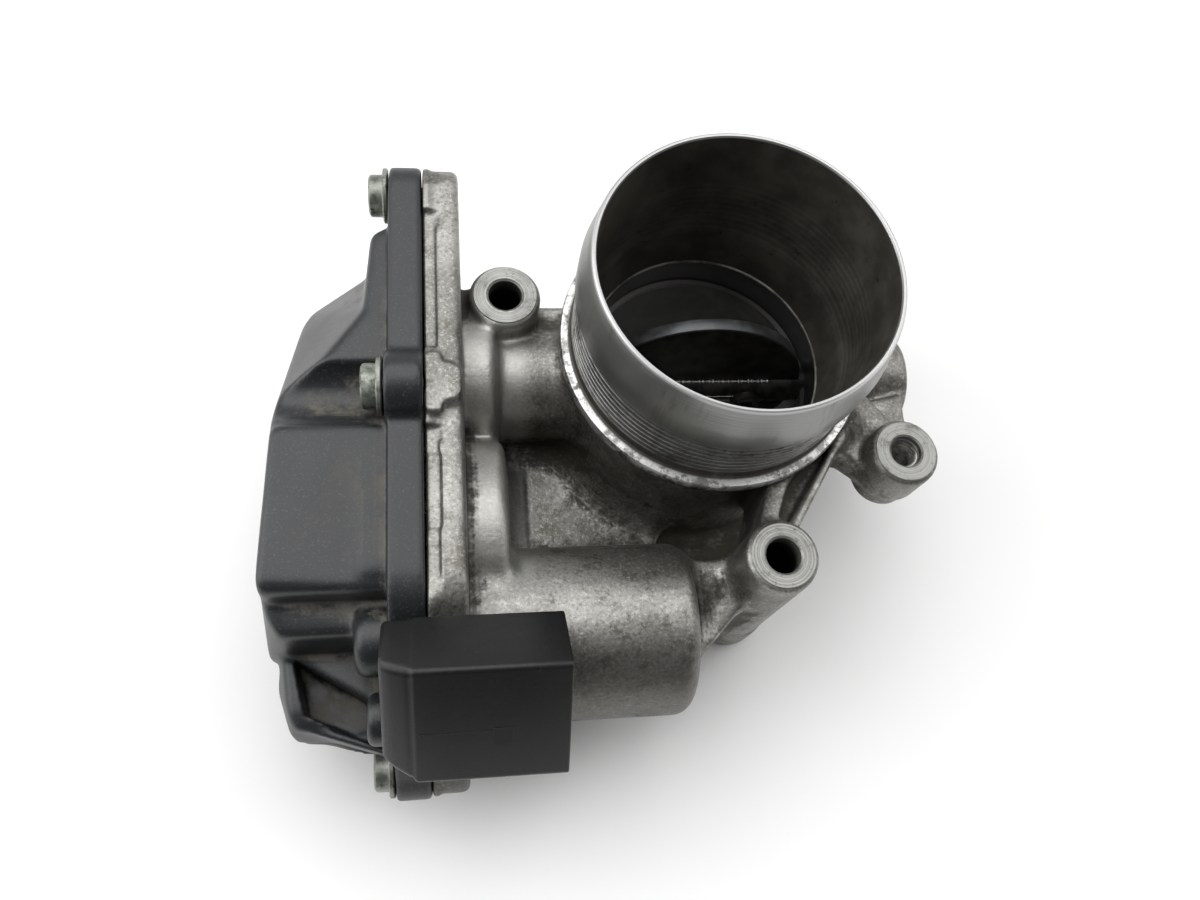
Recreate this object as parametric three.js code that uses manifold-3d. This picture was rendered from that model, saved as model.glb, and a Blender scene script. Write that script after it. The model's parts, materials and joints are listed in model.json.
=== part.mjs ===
// Electronically driven diesel throttle body: cast housing with a machined inlet tube, a plate on a
// cross shaft, a two-stage gear train, a small direct-current motor and a moulded gear cover.
//
// Millimetres, +Z up. The model is drawn about the bore axis (Z) at the outlet flange face (Z = 0):
// X runs along the throttle shaft with the gear case at -X, Y is square to it with the motor at -Y.
// The last lines shift it so that the origin is the middle of the object's footprint.
import * as THREE from "three";
import { mergeVertices } from "three/addons/utils/BufferGeometryUtils.js";
import { ConvexGeometry } from "three/addons/geometries/ConvexGeometry.js";
import Module from "manifold-3d";

const wasm = await Module();
wasm.setup();

// ---------------------------------------------------------------- driving dimensions
const GAP = 0.3; // clearance kept between touching pieces
const SHAFT_Z = 28.5; // height of the throttle shaft above the outlet face

// bore and inlet tube
const RIM_Z = 80;
const BORE_R = 25.2;
const THROAT_R = 26.0;
const THROAT_Z = 40;
const INLET_R = 29.3;
const BODY_R = 30.5;
const TUBE_R = 30.9;
const LIP_R = 31.8;
const RING_R = 33.1;
const RING_Z = 46.2;
const RING_TOP_Z = 49;

// throttle shaft and plate
const SHAFT_R = 4.2;
const PLATE_R = 24.9;
const PLATE_THICK = 3.0;
const PLATE_OPEN = THREE.MathUtils.degToRad(85); // plate angle in the rest pose
const PLATE_SCREW_X = 12;
const BEARING_R = 7.0;
const BEARING_BORE_R = BEARING_R + GAP;
const SHAFT_HOLE_R = SHAFT_R + GAP;

// gear case, at the -X side; circles are [y, z, radius]
const JOINT_X = -61;
const CASE_BACK_X = -53.5;
const CASE_FLOOR_X = -56.5;
const COVER_IN_X = JOINT_X - GAP;
const COVER_BAND_X = -68.2;
const COVER_SLAB_X = -66.3; // inner face of the cover round the dome
const MID_SCREW = [-13, 56];
const MID_BOSS_R = 4.8;
const HEAD_ROOM_R = 6.4;
const CASE_OUTLINE = [
  [33.6, 49.2, 7.8],
  [-49, 45, 12],
  [-57, SHAFT_Z, 20.7],
  [-81, 20, 6.2],
  [-70, 8.5, 6.3],
  [-49, 12.4, 12],
  [0, SHAFT_Z, 28.1],
  [31, 14, 6.5],
];
const CASE_CAVITY = [
  [0, SHAFT_Z, 25.4],
  [-45, 42, 12],
  [-57, SHAFT_Z, 17.2],
  [-45, 15, 12],
];
const COVER_SCREWS = [[35.2, 50], MID_SCREW, [-81, 20], [-70, 9], [31, 14]];

// gear train: module times teeth sets each pitch diameter
const MOTOR_Y = -57;
const INTER_Y = -30;
const STAGE_ONE = { module: 0.9, pinion: 11, wheel: 49 };
const STAGE_TWO = { module: 1.25, pinion: 10, sector: 38 };
const SECTOR_TEETH = 12; // teeth actually cut on the sector

// motor
const MOTOR_HOUSING_R = 17.8;
const MOTOR_END_X = -8;
const CAN_R = 15.4;
const CAN_WALL = 1.2;
const CAN_END_X = -13;
const MOTOR_SHAFT_R = 1.6;

// bolt bosses: [x, y, radius, top z]
const BOSS_LEFT = [-43.8, 13.9, 7.8, 45];
const BOSS_FRONT = [8.65, -47.9, 7.6, 50];
const BOSS_REAR = [34, 31, 7.6, 45];
const BOLT_HOLE_R = 3.6;
const STUD_BOSS = [38.6, -26.3, 7.5, 50];
const STUD_BASE_Z = 34;
const FLANGE_THICK = 9;

// connector shroud: a rectangle tilted about X, its upper corner at [y, z]
const RIDGE = [-69.8, 67];
const SHROUD_TILT = THREE.MathUtils.degToRad(48.4);
const SHROUD_WIDE = 24.1;
const SHROUD_THICK = 15.7;
const SHROUD_WALL = 1.9;
const SHROUD_END_X = -36.5;
const SHROUD_ROOT_X = -64;
const SOCKET_FLOOR_X = -52.8;
const TERMINAL_TIP_X = -46.5;
const TERMINALS = 6;
const TERMINAL_PITCH = 3.2;

// ---------------------------------------------------------------- solids from three.js geometry
const ALONG_X = new THREE.Matrix4().makeBasis(
  new THREE.Vector3(0, 1, 0),
  new THREE.Vector3(0, 0, 1),
  new THREE.Vector3(1, 0, 0),
);
const ALONG_Z = new THREE.Matrix4();

function solidOf(geometry, matrix = ALONG_Z) {
  const bare = new THREE.BufferGeometry();
  bare.setAttribute("position", geometry.getAttribute("position").clone());
  if (geometry.index) bare.setIndex(geometry.index.clone());
  bare.applyMatrix4(matrix);
  const merged = mergeVertices(bare, 1e-4);
  const index = merged.index.array;
  const kept = [];
  for (let i = 0; i < index.length; i += 3) {
    const [a, b, c] = [index[i], index[i + 1], index[i + 2]];
    if (a !== b && b !== c && c !== a) kept.push(a, b, c);
  }
  const make = (triangles) =>
    new wasm.Manifold(
      new wasm.Mesh({
        numProp: 3,
        vertProperties: merged.attributes.position.array,
        triVerts: new Uint32Array(triangles),
      }),
    );
  const made = make(kept);
  return made.volume() < 0 ? make(kept.reverse()) : made;
}

const join = (...solids) => solids.flat().reduce((sum, s) => sum.add(s));
const cut = (solid, ...tools) =>
  tools.flat(2).reduce((left, t) => left.subtract(t), solid);

// A point at a polar angle, in degrees, about a centre.
const polar = (u, v, r, degrees) => {
  const a = THREE.MathUtils.degToRad(degrees);
  return new THREE.Vector2(u + r * Math.cos(a), v + r * Math.sin(a));
};

// The convex outline round a set of circles [u, v, radius], each grown by an amount.
function aroundCircles(circles, grow = 0, step = 15) {
  const points = [];
  for (const [u, v, r] of circles)
    for (let a = 0; a < 360; a += step) points.push(polar(u, v, r + grow, a));
  points.sort((p, q) => p.x - q.x || p.y - q.y);
  const turn = (o, p, q) =>
    (p.x - o.x) * (q.y - o.y) - (p.y - o.y) * (q.x - o.x);
  const half = (list) => {
    const chain = [];
    for (const p of list) {
      while (chain.length > 1 && turn(chain.at(-2), chain.at(-1), p) < 1e-6)
        chain.pop();
      chain.push(p);
    }
    return chain.slice(0, -1);
  };
  return [...half(points), ...half(points.reverse())];
}

// A flat outline of points, extruded along X or Z between two coordinates.
function slab(points, from, to, matrix) {
  const outline = points.map((p) => (p.isVector2 ? p : new THREE.Vector2(...p)));
  const geometry = new THREE.ExtrudeGeometry(new THREE.Shape(outline), {
    depth: to - from,
    bevelEnabled: false,
  });
  geometry.translate(0, 0, from);
  return solidOf(geometry, matrix);
}
const slabX = (points, x0, x1) => slab(points, x0, x1, ALONG_X);
const slabZ = (points, z0, z1) => slab(points, z0, z1, ALONG_Z);

const ring = (u, v, r, sides) =>
  Array.from({ length: sides }, (_, i) => polar(u, v, r, (360 * i) / sides));
const rodX = (x0, x1, y, z, r, sides = 32) => slabX(ring(y, z, r, sides), x0, x1);
const rodZ = (z0, z1, x, y, r, sides = 32) => slabZ(ring(x, y, r, sides), z0, z1);
const tubeX = (x0, x1, y, z, r, hole, sides = 32) =>
  cut(rodX(x0, x1, y, z, r, sides), rodX(x0 - 1, x1 + 1, y, z, hole, sides));

function block(x0, x1, y0, y1, z0, z1) {
  const geometry = new THREE.BoxGeometry(x1 - x0, y1 - y0, z1 - z0);
  geometry.translate((x0 + x1) / 2, (y0 + y1) / 2, (z0 + z1) / 2);
  return solidOf(geometry);
}

// A closed profile of [radius, z] turned about the bore axis.
function turnedZ(profile, sides = 48) {
  const points = [...profile, profile[0]].map((p) => new THREE.Vector2(...p));
  const geometry = new THREE.LatheGeometry(points, sides);
  geometry.rotateX(Math.PI / 2);
  return solidOf(geometry);
}

// A closed profile of [radius, x] turned about an axis along X at (y, z).
function turnedX(profile, y, z, sides = 24) {
  const points = [...profile, profile[0]].map((p) => new THREE.Vector2(...p));
  const geometry = new THREE.LatheGeometry(points, sides);
  geometry.rotateZ(-Math.PI / 2);
  geometry.translate(0, y, z);
  return solidOf(geometry);
}

const wrap = (points) =>
  solidOf(new ConvexGeometry(points.map((p) => new THREE.Vector3(...p))));

// Turns a solid about an axis through (y, z) that runs along X.
function swing(solid, y, z, radians) {
  const matrix = new THREE.Matrix4()
    .makeTranslation(0, y, z)
    .multiply(new THREE.Matrix4().makeRotationX(radians))
    .multiply(new THREE.Matrix4().makeTranslation(0, -y, -z));
  return solid.transform(matrix.elements);
}

// ---------------------------------------------------------------- gear teeth
const TOOTH = { tip: 0.85, root: 1.15, tipShare: 0.17, pitchShare: 0.41, rootShare: 0.6 };

// Outline points of the teeth from index first to last, tooth 0 centred on the start angle.
function teeth(module, count, startDegrees, first, last, y, z) {
  const pitch = 360 / count;
  const r = (module * count) / 2;
  const points = [];
  for (let i = first; i <= last; i += 1) {
    const mid = startDegrees + i * pitch;
    const at = (radius, share) => polar(y, z, radius, mid + share * pitch);
    points.push(at(r - TOOTH.root * module, -TOOTH.rootShare / 2));
    points.push(at(r, -TOOTH.pitchShare / 2));
    points.push(at(r + TOOTH.tip * module, -TOOTH.tipShare / 2));
    points.push(at(r + TOOTH.tip * module, TOOTH.tipShare / 2));
    points.push(at(r, TOOTH.pitchShare / 2));
    points.push(at(r - TOOTH.root * module, TOOTH.rootShare / 2));
  }
  return points;
}

const spurGear = (x0, x1, y, z, module, count, startDegrees) =>
  slabX(teeth(module, count, startDegrees, 0, count - 1, y, z), x0, x1);

// ---------------------------------------------------------------- the housing casting
function housing() {
  const round = (circles) => aroundCircles(circles);
  const core = [0, 0, RING_R];
  const lobe = ([x, y, r]) => slabZ(round([core, [x, y, r]]), 0, FLANGE_THICK);
  const column = ([x, y, r, top]) => rodZ(0, top, x, y, r, 28);
  const barrel = turnedZ([
    [20, 0],
    [RING_R, 0],
    [RING_R, FLANGE_THICK],
    [BODY_R, FLANGE_THICK + 2],
    [BODY_R, RING_Z],
    [RING_R, RING_Z],
    [RING_R, RING_TOP_Z],
    [TUBE_R, RING_TOP_Z + 0.5],
    [TUBE_R, 65],
    [LIP_R, 66],
    [LIP_R, 71.5],
    [30.4, RIM_Z],
    [20, RIM_Z],
  ]);
  const caseShell = join(
    slabX(aroundCircles(CASE_OUTLINE, -0.5), JOINT_X, CASE_BACK_X),
    rodX(JOINT_X, CASE_BACK_X - 1.5, ...MID_SCREW, 6.5, 24),
  );
  const cavity = cavitySlab(0, JOINT_X - 1, CASE_FLOOR_X);
  const bodies = join(
    barrel,
    lobe(BOSS_LEFT),
    lobe(BOSS_FRONT),
    lobe(BOSS_REAR),
    column(BOSS_LEFT),
    column(BOSS_FRONT),
    column(BOSS_REAR),
    rodX(CASE_FLOOR_X, -46, 0, SHAFT_Z, 16.5, 32), // spring pocket wall
    rodX(CASE_FLOOR_X, -45, -36, SHAFT_Z, 21, 32), // bulge behind the intermediate gear
    rodX(-50, -26, 0, SHAFT_Z, 12.3), // shaft boss, gear side
    rodX(26, 49, 0, SHAFT_Z, 11), // shaft boss, far side
    motorHousing(),
    block(-54, -8, -43, 0, 8, 21), // web between bore, motor and gear case
    block(-54, -27, 0, 15, 8, 25), // web behind the left boss
    studBoss(),
    frontWeb(),
    motorEndWeb(),
    caseShell,
  );
  const bore = turnedZ([
    [0, -1],
    [BORE_R, -1],
    [BORE_R, 31],
    [THROAT_R, 32],
    [THROAT_R, THROAT_Z],
    [28.8, 52],
    [INLET_R, RIM_Z + 1],
    [0, RIM_Z + 1],
  ]);
  const bolts = [BOSS_LEFT, BOSS_FRONT, BOSS_REAR].map(([x, y, , top]) =>
    rodZ(-1, top + 1, x, y, BOLT_HOLE_R, 24),
  );
  const [studX, studY, , studTop] = STUD_BOSS;
  const screwHoles = COVER_SCREWS.map(([y, z]) =>
    rodX(JOINT_X - 1, CASE_BACK_X - 1.2, y, z, 2.3, 12),
  );
  const motorScrewHoles = MOTOR_SCREWS.map(([y, z]) =>
    rodX(CASE_FLOOR_X - 1, CASE_FLOOR_X + 7, y, z, 1.6, 10),
  );
  const cutBodies = cut(bodies, [
    bore,
    cavity,
    rodX(CASE_FLOOR_X - 1, -49, 0, SHAFT_Z, 13.8, 36), // spring pocket
  ]);
  // the spring seat stands in its pocket, so it joins after the pocket is cut
  const seated = join(cutBodies, rodX(-55, -48, 0, SHAFT_Z, 8.9, 28));
  return cut(seated, [
    bolts,
    screwHoles,
    motorScrewHoles,
    rodZ(STUD_BASE_Z - 1, studTop + 1, studX, studY, 2.6, 20),
    rodZ(studTop - 1.4, studTop + 1, studX, studY, 3.33, 24),
    rodX(CASE_FLOOR_X - 1, -11.5, MOTOR_Y, SHAFT_Z, CAN_R + 0.6, 32),
    rodX(-56, -31, 0, SHAFT_Z, BEARING_BORE_R, 28),
    rodX(31.5, 45.5, 0, SHAFT_Z, BEARING_BORE_R, 28),
    rodX(45.4, 50, 0, SHAFT_Z, 9.0, 28),
    rodX(-32, 32, 0, SHAFT_Z, SHAFT_HOLE_R, 24),
    rodX(CASE_FLOOR_X - 1, -49, INTER_Y, SHAFT_Z, PIN_R + GAP, 16),
    turnedZ([[28, -1], [30.4, -1], [30.4, 2], [28, 2]]), // seal groove
  ]);
}

// Round housing of the motor, closed and rounded over at its far end.
function motorHousing() {
  const r = MOTOR_HOUSING_R;
  const x = MOTOR_END_X;
  const profile = [
    [0, CASE_FLOOR_X], [r, CASE_FLOOR_X], [r, x - 3.5], [r - 1, x - 1.2], [r - 3.2, x], [0, x],
  ];
  return turnedX(profile, MOTOR_Y, SHAFT_Z, 32);
}

// Boss with the tapped hole, its stepped foot and the arm that carries it.
function studBoss() {
  const [x, y, r, top] = STUD_BOSS;
  const arm = slabZ([[26, -10], [31, -5], [44, -22], [35, -32], [24, -22]], 36, 45.5);
  return join(
    rodZ(STUD_BASE_Z + 4, top, x, y, r, 28),
    rodZ(STUD_BASE_Z, STUD_BASE_Z + 5, x, y, r - 0.6, 28),
    arm,
    slabZ([[35, -12], [46, -8], [45, -26], [39, -26]], 34, 39),
  );
}

// Slotted web from the ring flange to the front bolt boss.
function frontWeb() {
  const outer = [[10, -28], [29, -13], [30.5, -17], [12.5, -44], [4, -46]];
  const slot = [[13.5, -31.5], [24, -20], [25.6, -21.2], [12.6, -39.6], [10.5, -38.5]];
  return cut(slabZ(outer, 26, 45.5), slabZ(slot, 41, 47));
}

// Web that ties the closed end of the motor housing to the front bolt boss.
function motorEndWeb() {
  return slabZ([[-14, -44], [4, -46], [4, -54], [-4, -62], [-10, -66], [-14, -66]], 16, 38);
}

// ---------------------------------------------------------------- the throttle shaft group
function throttleShaft() {
  const slot = block(-BORE_R - 0.2, BORE_R + 0.2, -10, 10, -PLATE_THICK / 2 - GAP, PLATE_THICK / 2 + GAP);
  const turned = swing(slot.translate([0, 0, SHAFT_Z]), 0, SHAFT_Z, PLATE_OPEN);
  const screwHoles = [-PLATE_SCREW_X, PLATE_SCREW_X].map((x) =>
    plateTool(rodZ(-8, 8, x, 0, 2.2, 16)),
  );
  const end = rodX(-75.5, -73, 0, SHAFT_Z, 2.6, 16);
  const spindle = join(rodX(-73.2, 45, 0, SHAFT_Z, SHAFT_R, 28), end);
  return cut(spindle, [turned, screwHoles]);
}

// Moves a solid drawn about the plate's own middle and normal Z to the plate's rest angle.
const plateTool = (solid) =>
  swing(solid.translate([0, 0, SHAFT_Z]), 0, SHAFT_Z, PLATE_OPEN);

function throttlePlate() {
  const disc = rodZ(-PLATE_THICK / 2, PLATE_THICK / 2, 0, 0, PLATE_R, 56);
  const holes = [-PLATE_SCREW_X, PLATE_SCREW_X].map((x) => rodZ(-5, 5, x, 0, 2.2, 16));
  return plateTool(cut(disc, holes));
}

function plateScrew(x) {
  const head = rodZ(SHAFT_R + 0.1, SHAFT_R + 1.9, x, 0, 3.4, 20);
  const shank = rodZ(-SHAFT_R - 0.6, SHAFT_R + 0.5, x, 0, 1.9, 16);
  const driver = rodZ(SHAFT_R + 0.9, SHAFT_R + 3, x, 0, 1.5, 6);
  return plateTool(cut(join(head, shank), driver));
}

function sectorGear() {
  const { module, sector } = STAGE_TWO;
  const pitch = 360 / sector;
  const start = 180 - 1.5 * pitch; // so that a tooth gap faces the intermediate gear
  const rim = teeth(module, sector, start, 0, SECTOR_TEETH - 1, 0, SHAFT_Z);
  const web = slabX([new THREE.Vector2(0, SHAFT_Z), ...rim], -65.9, -60.6);
  const hub = rodX(-68.6, -60.6, 0, SHAFT_Z, 8.2, 28);
  const pocket = slabX(
    [polar(0, SHAFT_Z, 10.5, 190), polar(0, SHAFT_Z, 19, 182), polar(0, SHAFT_Z, 19.5, 205),
      polar(0, SHAFT_Z, 19.5, 225), polar(0, SHAFT_Z, 19, 250), polar(0, SHAFT_Z, 10.5, 242)],
    -67, -63.2,
  );
  return cut(join(web, hub), [pocket, rodX(-75, -60, 0, SHAFT_Z, SHAFT_HOLE_R, 24)]);
}

const sensorRotor = () => tubeX(-75.3, -73.5, 0, SHAFT_Z, 8, 2.9, 24);

// ---------------------------------------------------------------- gears, pin and spring
const PIN_R = 2.5;

function intermediateGear() {
  const one = STAGE_ONE;
  const two = STAGE_TWO;
  const wheel = spurGear(-73.1, -69.0, INTER_Y, SHAFT_Z, one.module, one.wheel, 180);
  const pinion = spurGear(-69.3, -59.6, INTER_Y, SHAFT_Z, two.module, two.pinion, 0);
  const holes = [45, 135, 225, 315].map((a) => {
    const c = polar(INTER_Y, SHAFT_Z, 14, a);
    return rodX(-75, -68, c.x, c.y, 4.5, 12);
  });
  return cut(join(wheel, pinion), [holes, rodX(-75, -58, INTER_Y, SHAFT_Z, PIN_R + GAP, 16)]);
}

function motorPinion() {
  const { module, pinion } = STAGE_ONE;
  const half = 180 / pinion;
  const gear = spurGear(-74.2, -68.6, MOTOR_Y, SHAFT_Z, module, pinion, half);
  return cut(gear, rodX(-76, -66, MOTOR_Y, SHAFT_Z, MOTOR_SHAFT_R + GAP, 12));
}

function returnSpring() {
  const turns = 4;
  const steps = turns * 16;
  const pitch = 1.05;
  const wire = 0.4;
  const coilR = 10.9;
  const points = Array.from({ length: steps + 1 }, (_, i) => {
    const a = (i / 16) * 2 * Math.PI;
    const x = -54.7 + (i / 16) * pitch;
    return new THREE.Vector3(x, coilR * Math.cos(a), SHAFT_Z + coilR * Math.sin(a));
  });
  const path = new THREE.CatmullRomCurve3(points);
  const section = new THREE.Shape(ring(0, 0, wire, 6));
  return solidOf(new THREE.ExtrudeGeometry(section, { steps, extrudePath: path, bevelEnabled: false }));
}

// ---------------------------------------------------------------- the motor
const MOTOR_SCREWS = [[-43.5, 42], [-43.5, 15]];

function motorCan() {
  return turnedX([
    [CAN_R - CAN_WALL, CASE_FLOOR_X],
    [CAN_R, CASE_FLOOR_X],
    [CAN_R, CAN_END_X - 1],
    [CAN_R - 1, CAN_END_X],
    [3.5, CAN_END_X],
    [3.5, CAN_END_X - CAN_WALL],
    [CAN_R - CAN_WALL, CAN_END_X - CAN_WALL],
  ], MOTOR_Y, SHAFT_Z, 32);
}

function motorFrontPlate() {
  const outline = aroundCircles([[MOTOR_Y, SHAFT_Z, 16.2], ...MOTOR_SCREWS.map((p) => [...p, 4.2])], 0, 20);
  const plate = slabX(outline, -58.6, -57.1);
  const holes = MOTOR_SCREWS.map(([y, z]) => rodX(-60, -55, y, z, 1.9, 12));
  return cut(plate, [holes, rodX(-60, -55, MOTOR_Y, SHAFT_Z, 3.4, 16)]);
}

const motorBearing = (x0, x1) => tubeX(x0, x1, MOTOR_Y, SHAFT_Z, 3.1, MOTOR_SHAFT_R + GAP, 16);

function motorMagnet(side) {
  const angles = [-55, -33, -11, 11, 33, 55].map((a) => a + side * 90);
  const outer = angles.map((a) => polar(MOTOR_Y, SHAFT_Z, 13.8, a));
  const inner = [...angles].reverse().map((a) => polar(MOTOR_Y, SHAFT_Z, 11.2, a));
  return slabX([...outer, ...inner], -50, -26);
}

function armature() {
  const points = [];
  const poles = 5;
  for (let i = 0; i < poles; i += 1) {
    const mid = (i * 360) / poles;
    for (const [r, a] of [[4, -36], [8.6, -31], [10.5, -30], [10.6, -10], [10.6, 10], [10.5, 30], [8.6, 31]])
      points.push(polar(MOTOR_Y, SHAFT_Z, r, mid + a));
  }
  return cut(slabX(points, -50, -26), rodX(-51, -25, MOTOR_Y, SHAFT_Z, MOTOR_SHAFT_R + GAP, 12));
}

const commutator = () => tubeX(-24.5, -18, MOTOR_Y, SHAFT_Z, 4.2, MOTOR_SHAFT_R + GAP, 20);
const brushHolder = () => tubeX(-17.4, -15.6, MOTOR_Y, SHAFT_Z, 13.8, 5, 28);
const brush = (side) => {
  const near = MOTOR_Y + side * 4.6;
  const far = MOTOR_Y + side * 9.5;
  return block(-22.8, -19, Math.min(near, far), Math.max(near, far), SHAFT_Z - 1.6, SHAFT_Z + 1.6);
};

// ---------------------------------------------------------------- the gear cover
// A point of the shroud's section: u down the wide face from the ridge, v down the narrow face.
const along = (u, v) => {
  const [c, s] = [Math.cos(SHROUD_TILT), Math.sin(SHROUD_TILT)];
  return [RIDGE[0] - u * c + v * s, RIDGE[1] - u * s - v * c];
};

function shroudSection(inset, far = inset) {
  return [
    along(far, inset),
    along(SHROUD_WIDE - inset, inset),
    along(SHROUD_WIDE - inset, SHROUD_THICK - far),
    along(far, SHROUD_THICK - far),
  ];
}

// The dome that stands off the cover band, as convex pieces; grow is negative for its inside.
function dome(shrink) {
  const s = shrink;
  const back = COVER_SLAB_X + 0.3;
  const shallow = wrap([
    [back, 26 - s, 54.5 - s], [-71.6 + s, 23 - s, 54.5 - s], [-73.2 + s, 4, 54.5 - s],
    [-73.2 + s, -50, 54.5 - s], [back, -50, 54.5 - s],
    [back, 30 - s, SHAFT_Z], [-74.8 + s, 27.5 - s, SHAFT_Z],
    [back, 24 - s, 5 + s], [-73.2 + s, 22 - s, 5 + s], [-73.2 + s, 0, 2.4 + s], [back, 0, 2.4 + s],
    [-73.2 + s, -50, 2.4 + s], [back, -50, 2.4 + s],
  ]);
  const deep = wrap([
    [back, 4 - s, 54.5 - s], [-73.2 + s * 0.4, 4 - s, 54.5 - s], [-90 + s, -19.5 - s * 0.4, 54.5 - s],
    [-91.4 + s, -50.5, 54.5 - s], [-91 + s, -52.6 + s, 53 - s], [back, -52.6 + s, 53 - s],
    [back, 26 - s, SHAFT_Z], [-75 + s * 0.4, 27.8 - s, SHAFT_Z], [-86.9 + s, 18.4 - s, SHAFT_Z],
    [-88.4 + s, 15.7 - s, SHAFT_Z], [-93 + s, -6, SHAFT_Z], [-93 + s, -48, SHAFT_Z],
    [back, -54 + s, SHAFT_Z], [-91.5 + s, -54 + s, SHAFT_Z],
    [back, 4 - s, 3 + s], [-90 + s, -19.5, 4 + s], [-90 + s, -50, 4 + s], [back, -52 + s, 3 + s],
  ]);
  const shelf = wrap([
    [back, -48, 47.5 - s], [-92 + s, -48, 47.5 - s], [-90.5 + s, -54.5, 47.2 - s],
    [-88 + s, -59 + s, 46 - s], [back, -59 + s, 46 - s],
    [-87.6 + s, -60.6 + s, 34], [back, -60.6 + s, 34],
    [-93.4 + s, -48, SHAFT_Z], [-92.4 + s, -60.4 + s, SHAFT_Z], [back, -60.6 + s, 24],
    [-90 + s, -48, 8 + s], [-88 + s, -60 + s, 8 + s], [back, -60 + s, 8 + s], [back, -48, 8 + s],
  ]);
  const tail = wrap([
    [back, -56, 35.2 - s], [-89.4 + s, -56, 35.2 - s], [-87.6 + s, -71 + s, 35.2 - s],
    [-86.4 + s, -74 + s, 34 - s], [-76, -73.6 + s, 34 - s], [back, -68 + s, 35.2 - s],
    [-91 + s, -65 + s, SHAFT_Z - 1], [-88 + s, -75 + s, 27 - s], [-87.4 + s, -75.8 + s, 22],
    [-76.5, -76.2 + s, 22], [back, -72 + s, 24],
    [-87 + s, -74 + s, 9 + s], [-76, -74 + s, 9 + s], [back, -70 + s, 9 + s], [back, -56, 9 + s],
  ]);
  return join(shallow, deep, shelf, tail);
}

// Two thin webs from the dome's corner out to the cover band, with an open pocket between them.
function coverRibs() {
  const pocket = slabZ([[-86.9, -61], [-71.5, -70.2], [-70.2, -78.2], [-84.4, -71.4]], 27, 60);
  const floor = slabZ([[-84.4, -71.4], [-70.2, -79], [-66.5, -79], [-66.5, -70], [-80, -68]], 14, 27);
  const ribTwo = slabZ([[-86.2, -72], [-67.8, -78.6], [-67.8, -80.2], [-86, -73.8]], 14, 33);
  return { pocket, ribTwo, floor };
}

function gearCover() {
  const { pocket, ribTwo, floor } = coverRibs();
  const wall = 2.2;
  const band = join(
    slabX(aroundCircles(CASE_OUTLINE), COVER_BAND_X, COVER_IN_X),
    rodX(COVER_BAND_X - 0.6, COVER_IN_X, ...MID_SCREW, 7, 24),
  );
  const shroud = join(
    slabX(shroudSection(0), SHROUD_ROOT_X, SHROUD_END_X),
    wrap([
      ...shroudSection(0).map(([y, z]) => [SHROUD_ROOT_X, y, z]),
      ...shroudSection(3, 0.8).map(([y, z]) => [COVER_BAND_X, y, z]),
    ]),
    // neck that carries the shroud on the band
    slabX([along(1.5, 13), along(19, 13), [-74, 34], [-58, 46]], COVER_BAND_X, COVER_IN_X),
  );
  const outside = cut(join(band, dome(0), ribTwo, floor), pocket);
  const inside = join(
    slabX(aroundCircles(CASE_CAVITY), COVER_SLAB_X, COVER_IN_X + 1),
    dome(wall),
    rodX(-75.2, -68, MOTOR_Y, SHAFT_Z, 6.1, 24), // room for the motor pinion
  );
  const hollow = cut(inside, [
    rodX(-75, COVER_IN_X + 2, ...MID_SCREW, MID_BOSS_R, 20),
    COVER_SCREWS.map(([y, z]) => rodX(-95, COVER_SLAB_X, y, z, HEAD_ROOM_R + 1.8, 24)),
    wrapAround(),
  ]);
  const socket = slabX(shroudSection(SHROUD_WALL), SOCKET_FLOOR_X, SHROUD_END_X + 1);
  const pinPocket = rodX(-78.5, -74, INTER_Y, SHAFT_Z, PIN_R + GAP, 16);
  const pinBoss = rodX(-92, -75, INTER_Y, SHAFT_Z, 5.2, 20);
  const screwHoles = COVER_SCREWS.map(([y, z]) => rodX(-72, -60, y, z, 2.5, 14));
  const headRooms = COVER_SCREWS.map(([y, z]) => {
    const seatX = COVER_BAND_X - (z === MID_SCREW[1] ? 0.6 : 0);
    return rodX(-95, seatX, y, z, HEAD_ROOM_R, 28);
  });
  const terminalHoles = TERMINAL_PLACES.map((u) => terminalBar(u, -62.3, SOCKET_FLOOR_X + 0.5, GAP));
  // the shroud overhangs the casting's flange and is relieved to clear it
  const relief = slabX(aroundCircles(CASE_OUTLINE, -0.2), COVER_IN_X, CASE_BACK_X + GAP);
  const hollowed = cut(join(outside, cut(shroud, relief)), [hollow]);
  const lidded = join(hollowed, cut(pinBoss, rodX(-78.5, -70, INTER_Y, SHAFT_Z, PIN_R + GAP, 16)));
  return cut(lidded, [
    socket, pinPocket, screwHoles, headRooms, terminalHoles, gasketGroove(),
  ]);
}

// The pocket between the ribs, grown by a wall, so that the hollow stays clear of it.
const wrapAround = () =>
  slabZ([[-89, -58.2], [-69.8, -69], [-66, -80], [-86, -75]], 24.8, 62);

// The case cavity grown by an amount, with the middle screw's boss standing into it.
const cavitySlab = (grow, x0, x1) =>
  cut(
    slabX(aroundCircles(CASE_CAVITY, grow), x0, x1),
    rodX(x0 - 1, x1 + 1, ...MID_SCREW, MID_BOSS_R - grow, 20),
  );

const gasketBand = (grow0, grow1, x0, x1) =>
  cut(cavitySlab(grow1, x0, x1), cavitySlab(grow0, x0 - 1, x1 + 1));
const gasketGroove = () => gasketBand(0.35, 1.85, COVER_IN_X - 1.6, COVER_IN_X + 1);
const coverGasket = () => gasketBand(0.65, 1.55, COVER_IN_X - 1.3, COVER_IN_X - 0.05);

const TERMINAL_PLACES = Array.from(
  { length: TERMINALS },
  (_, i) => SHROUD_WIDE / 2 + (i - (TERMINALS - 1) / 2) * TERMINAL_PITCH,
);

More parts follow.
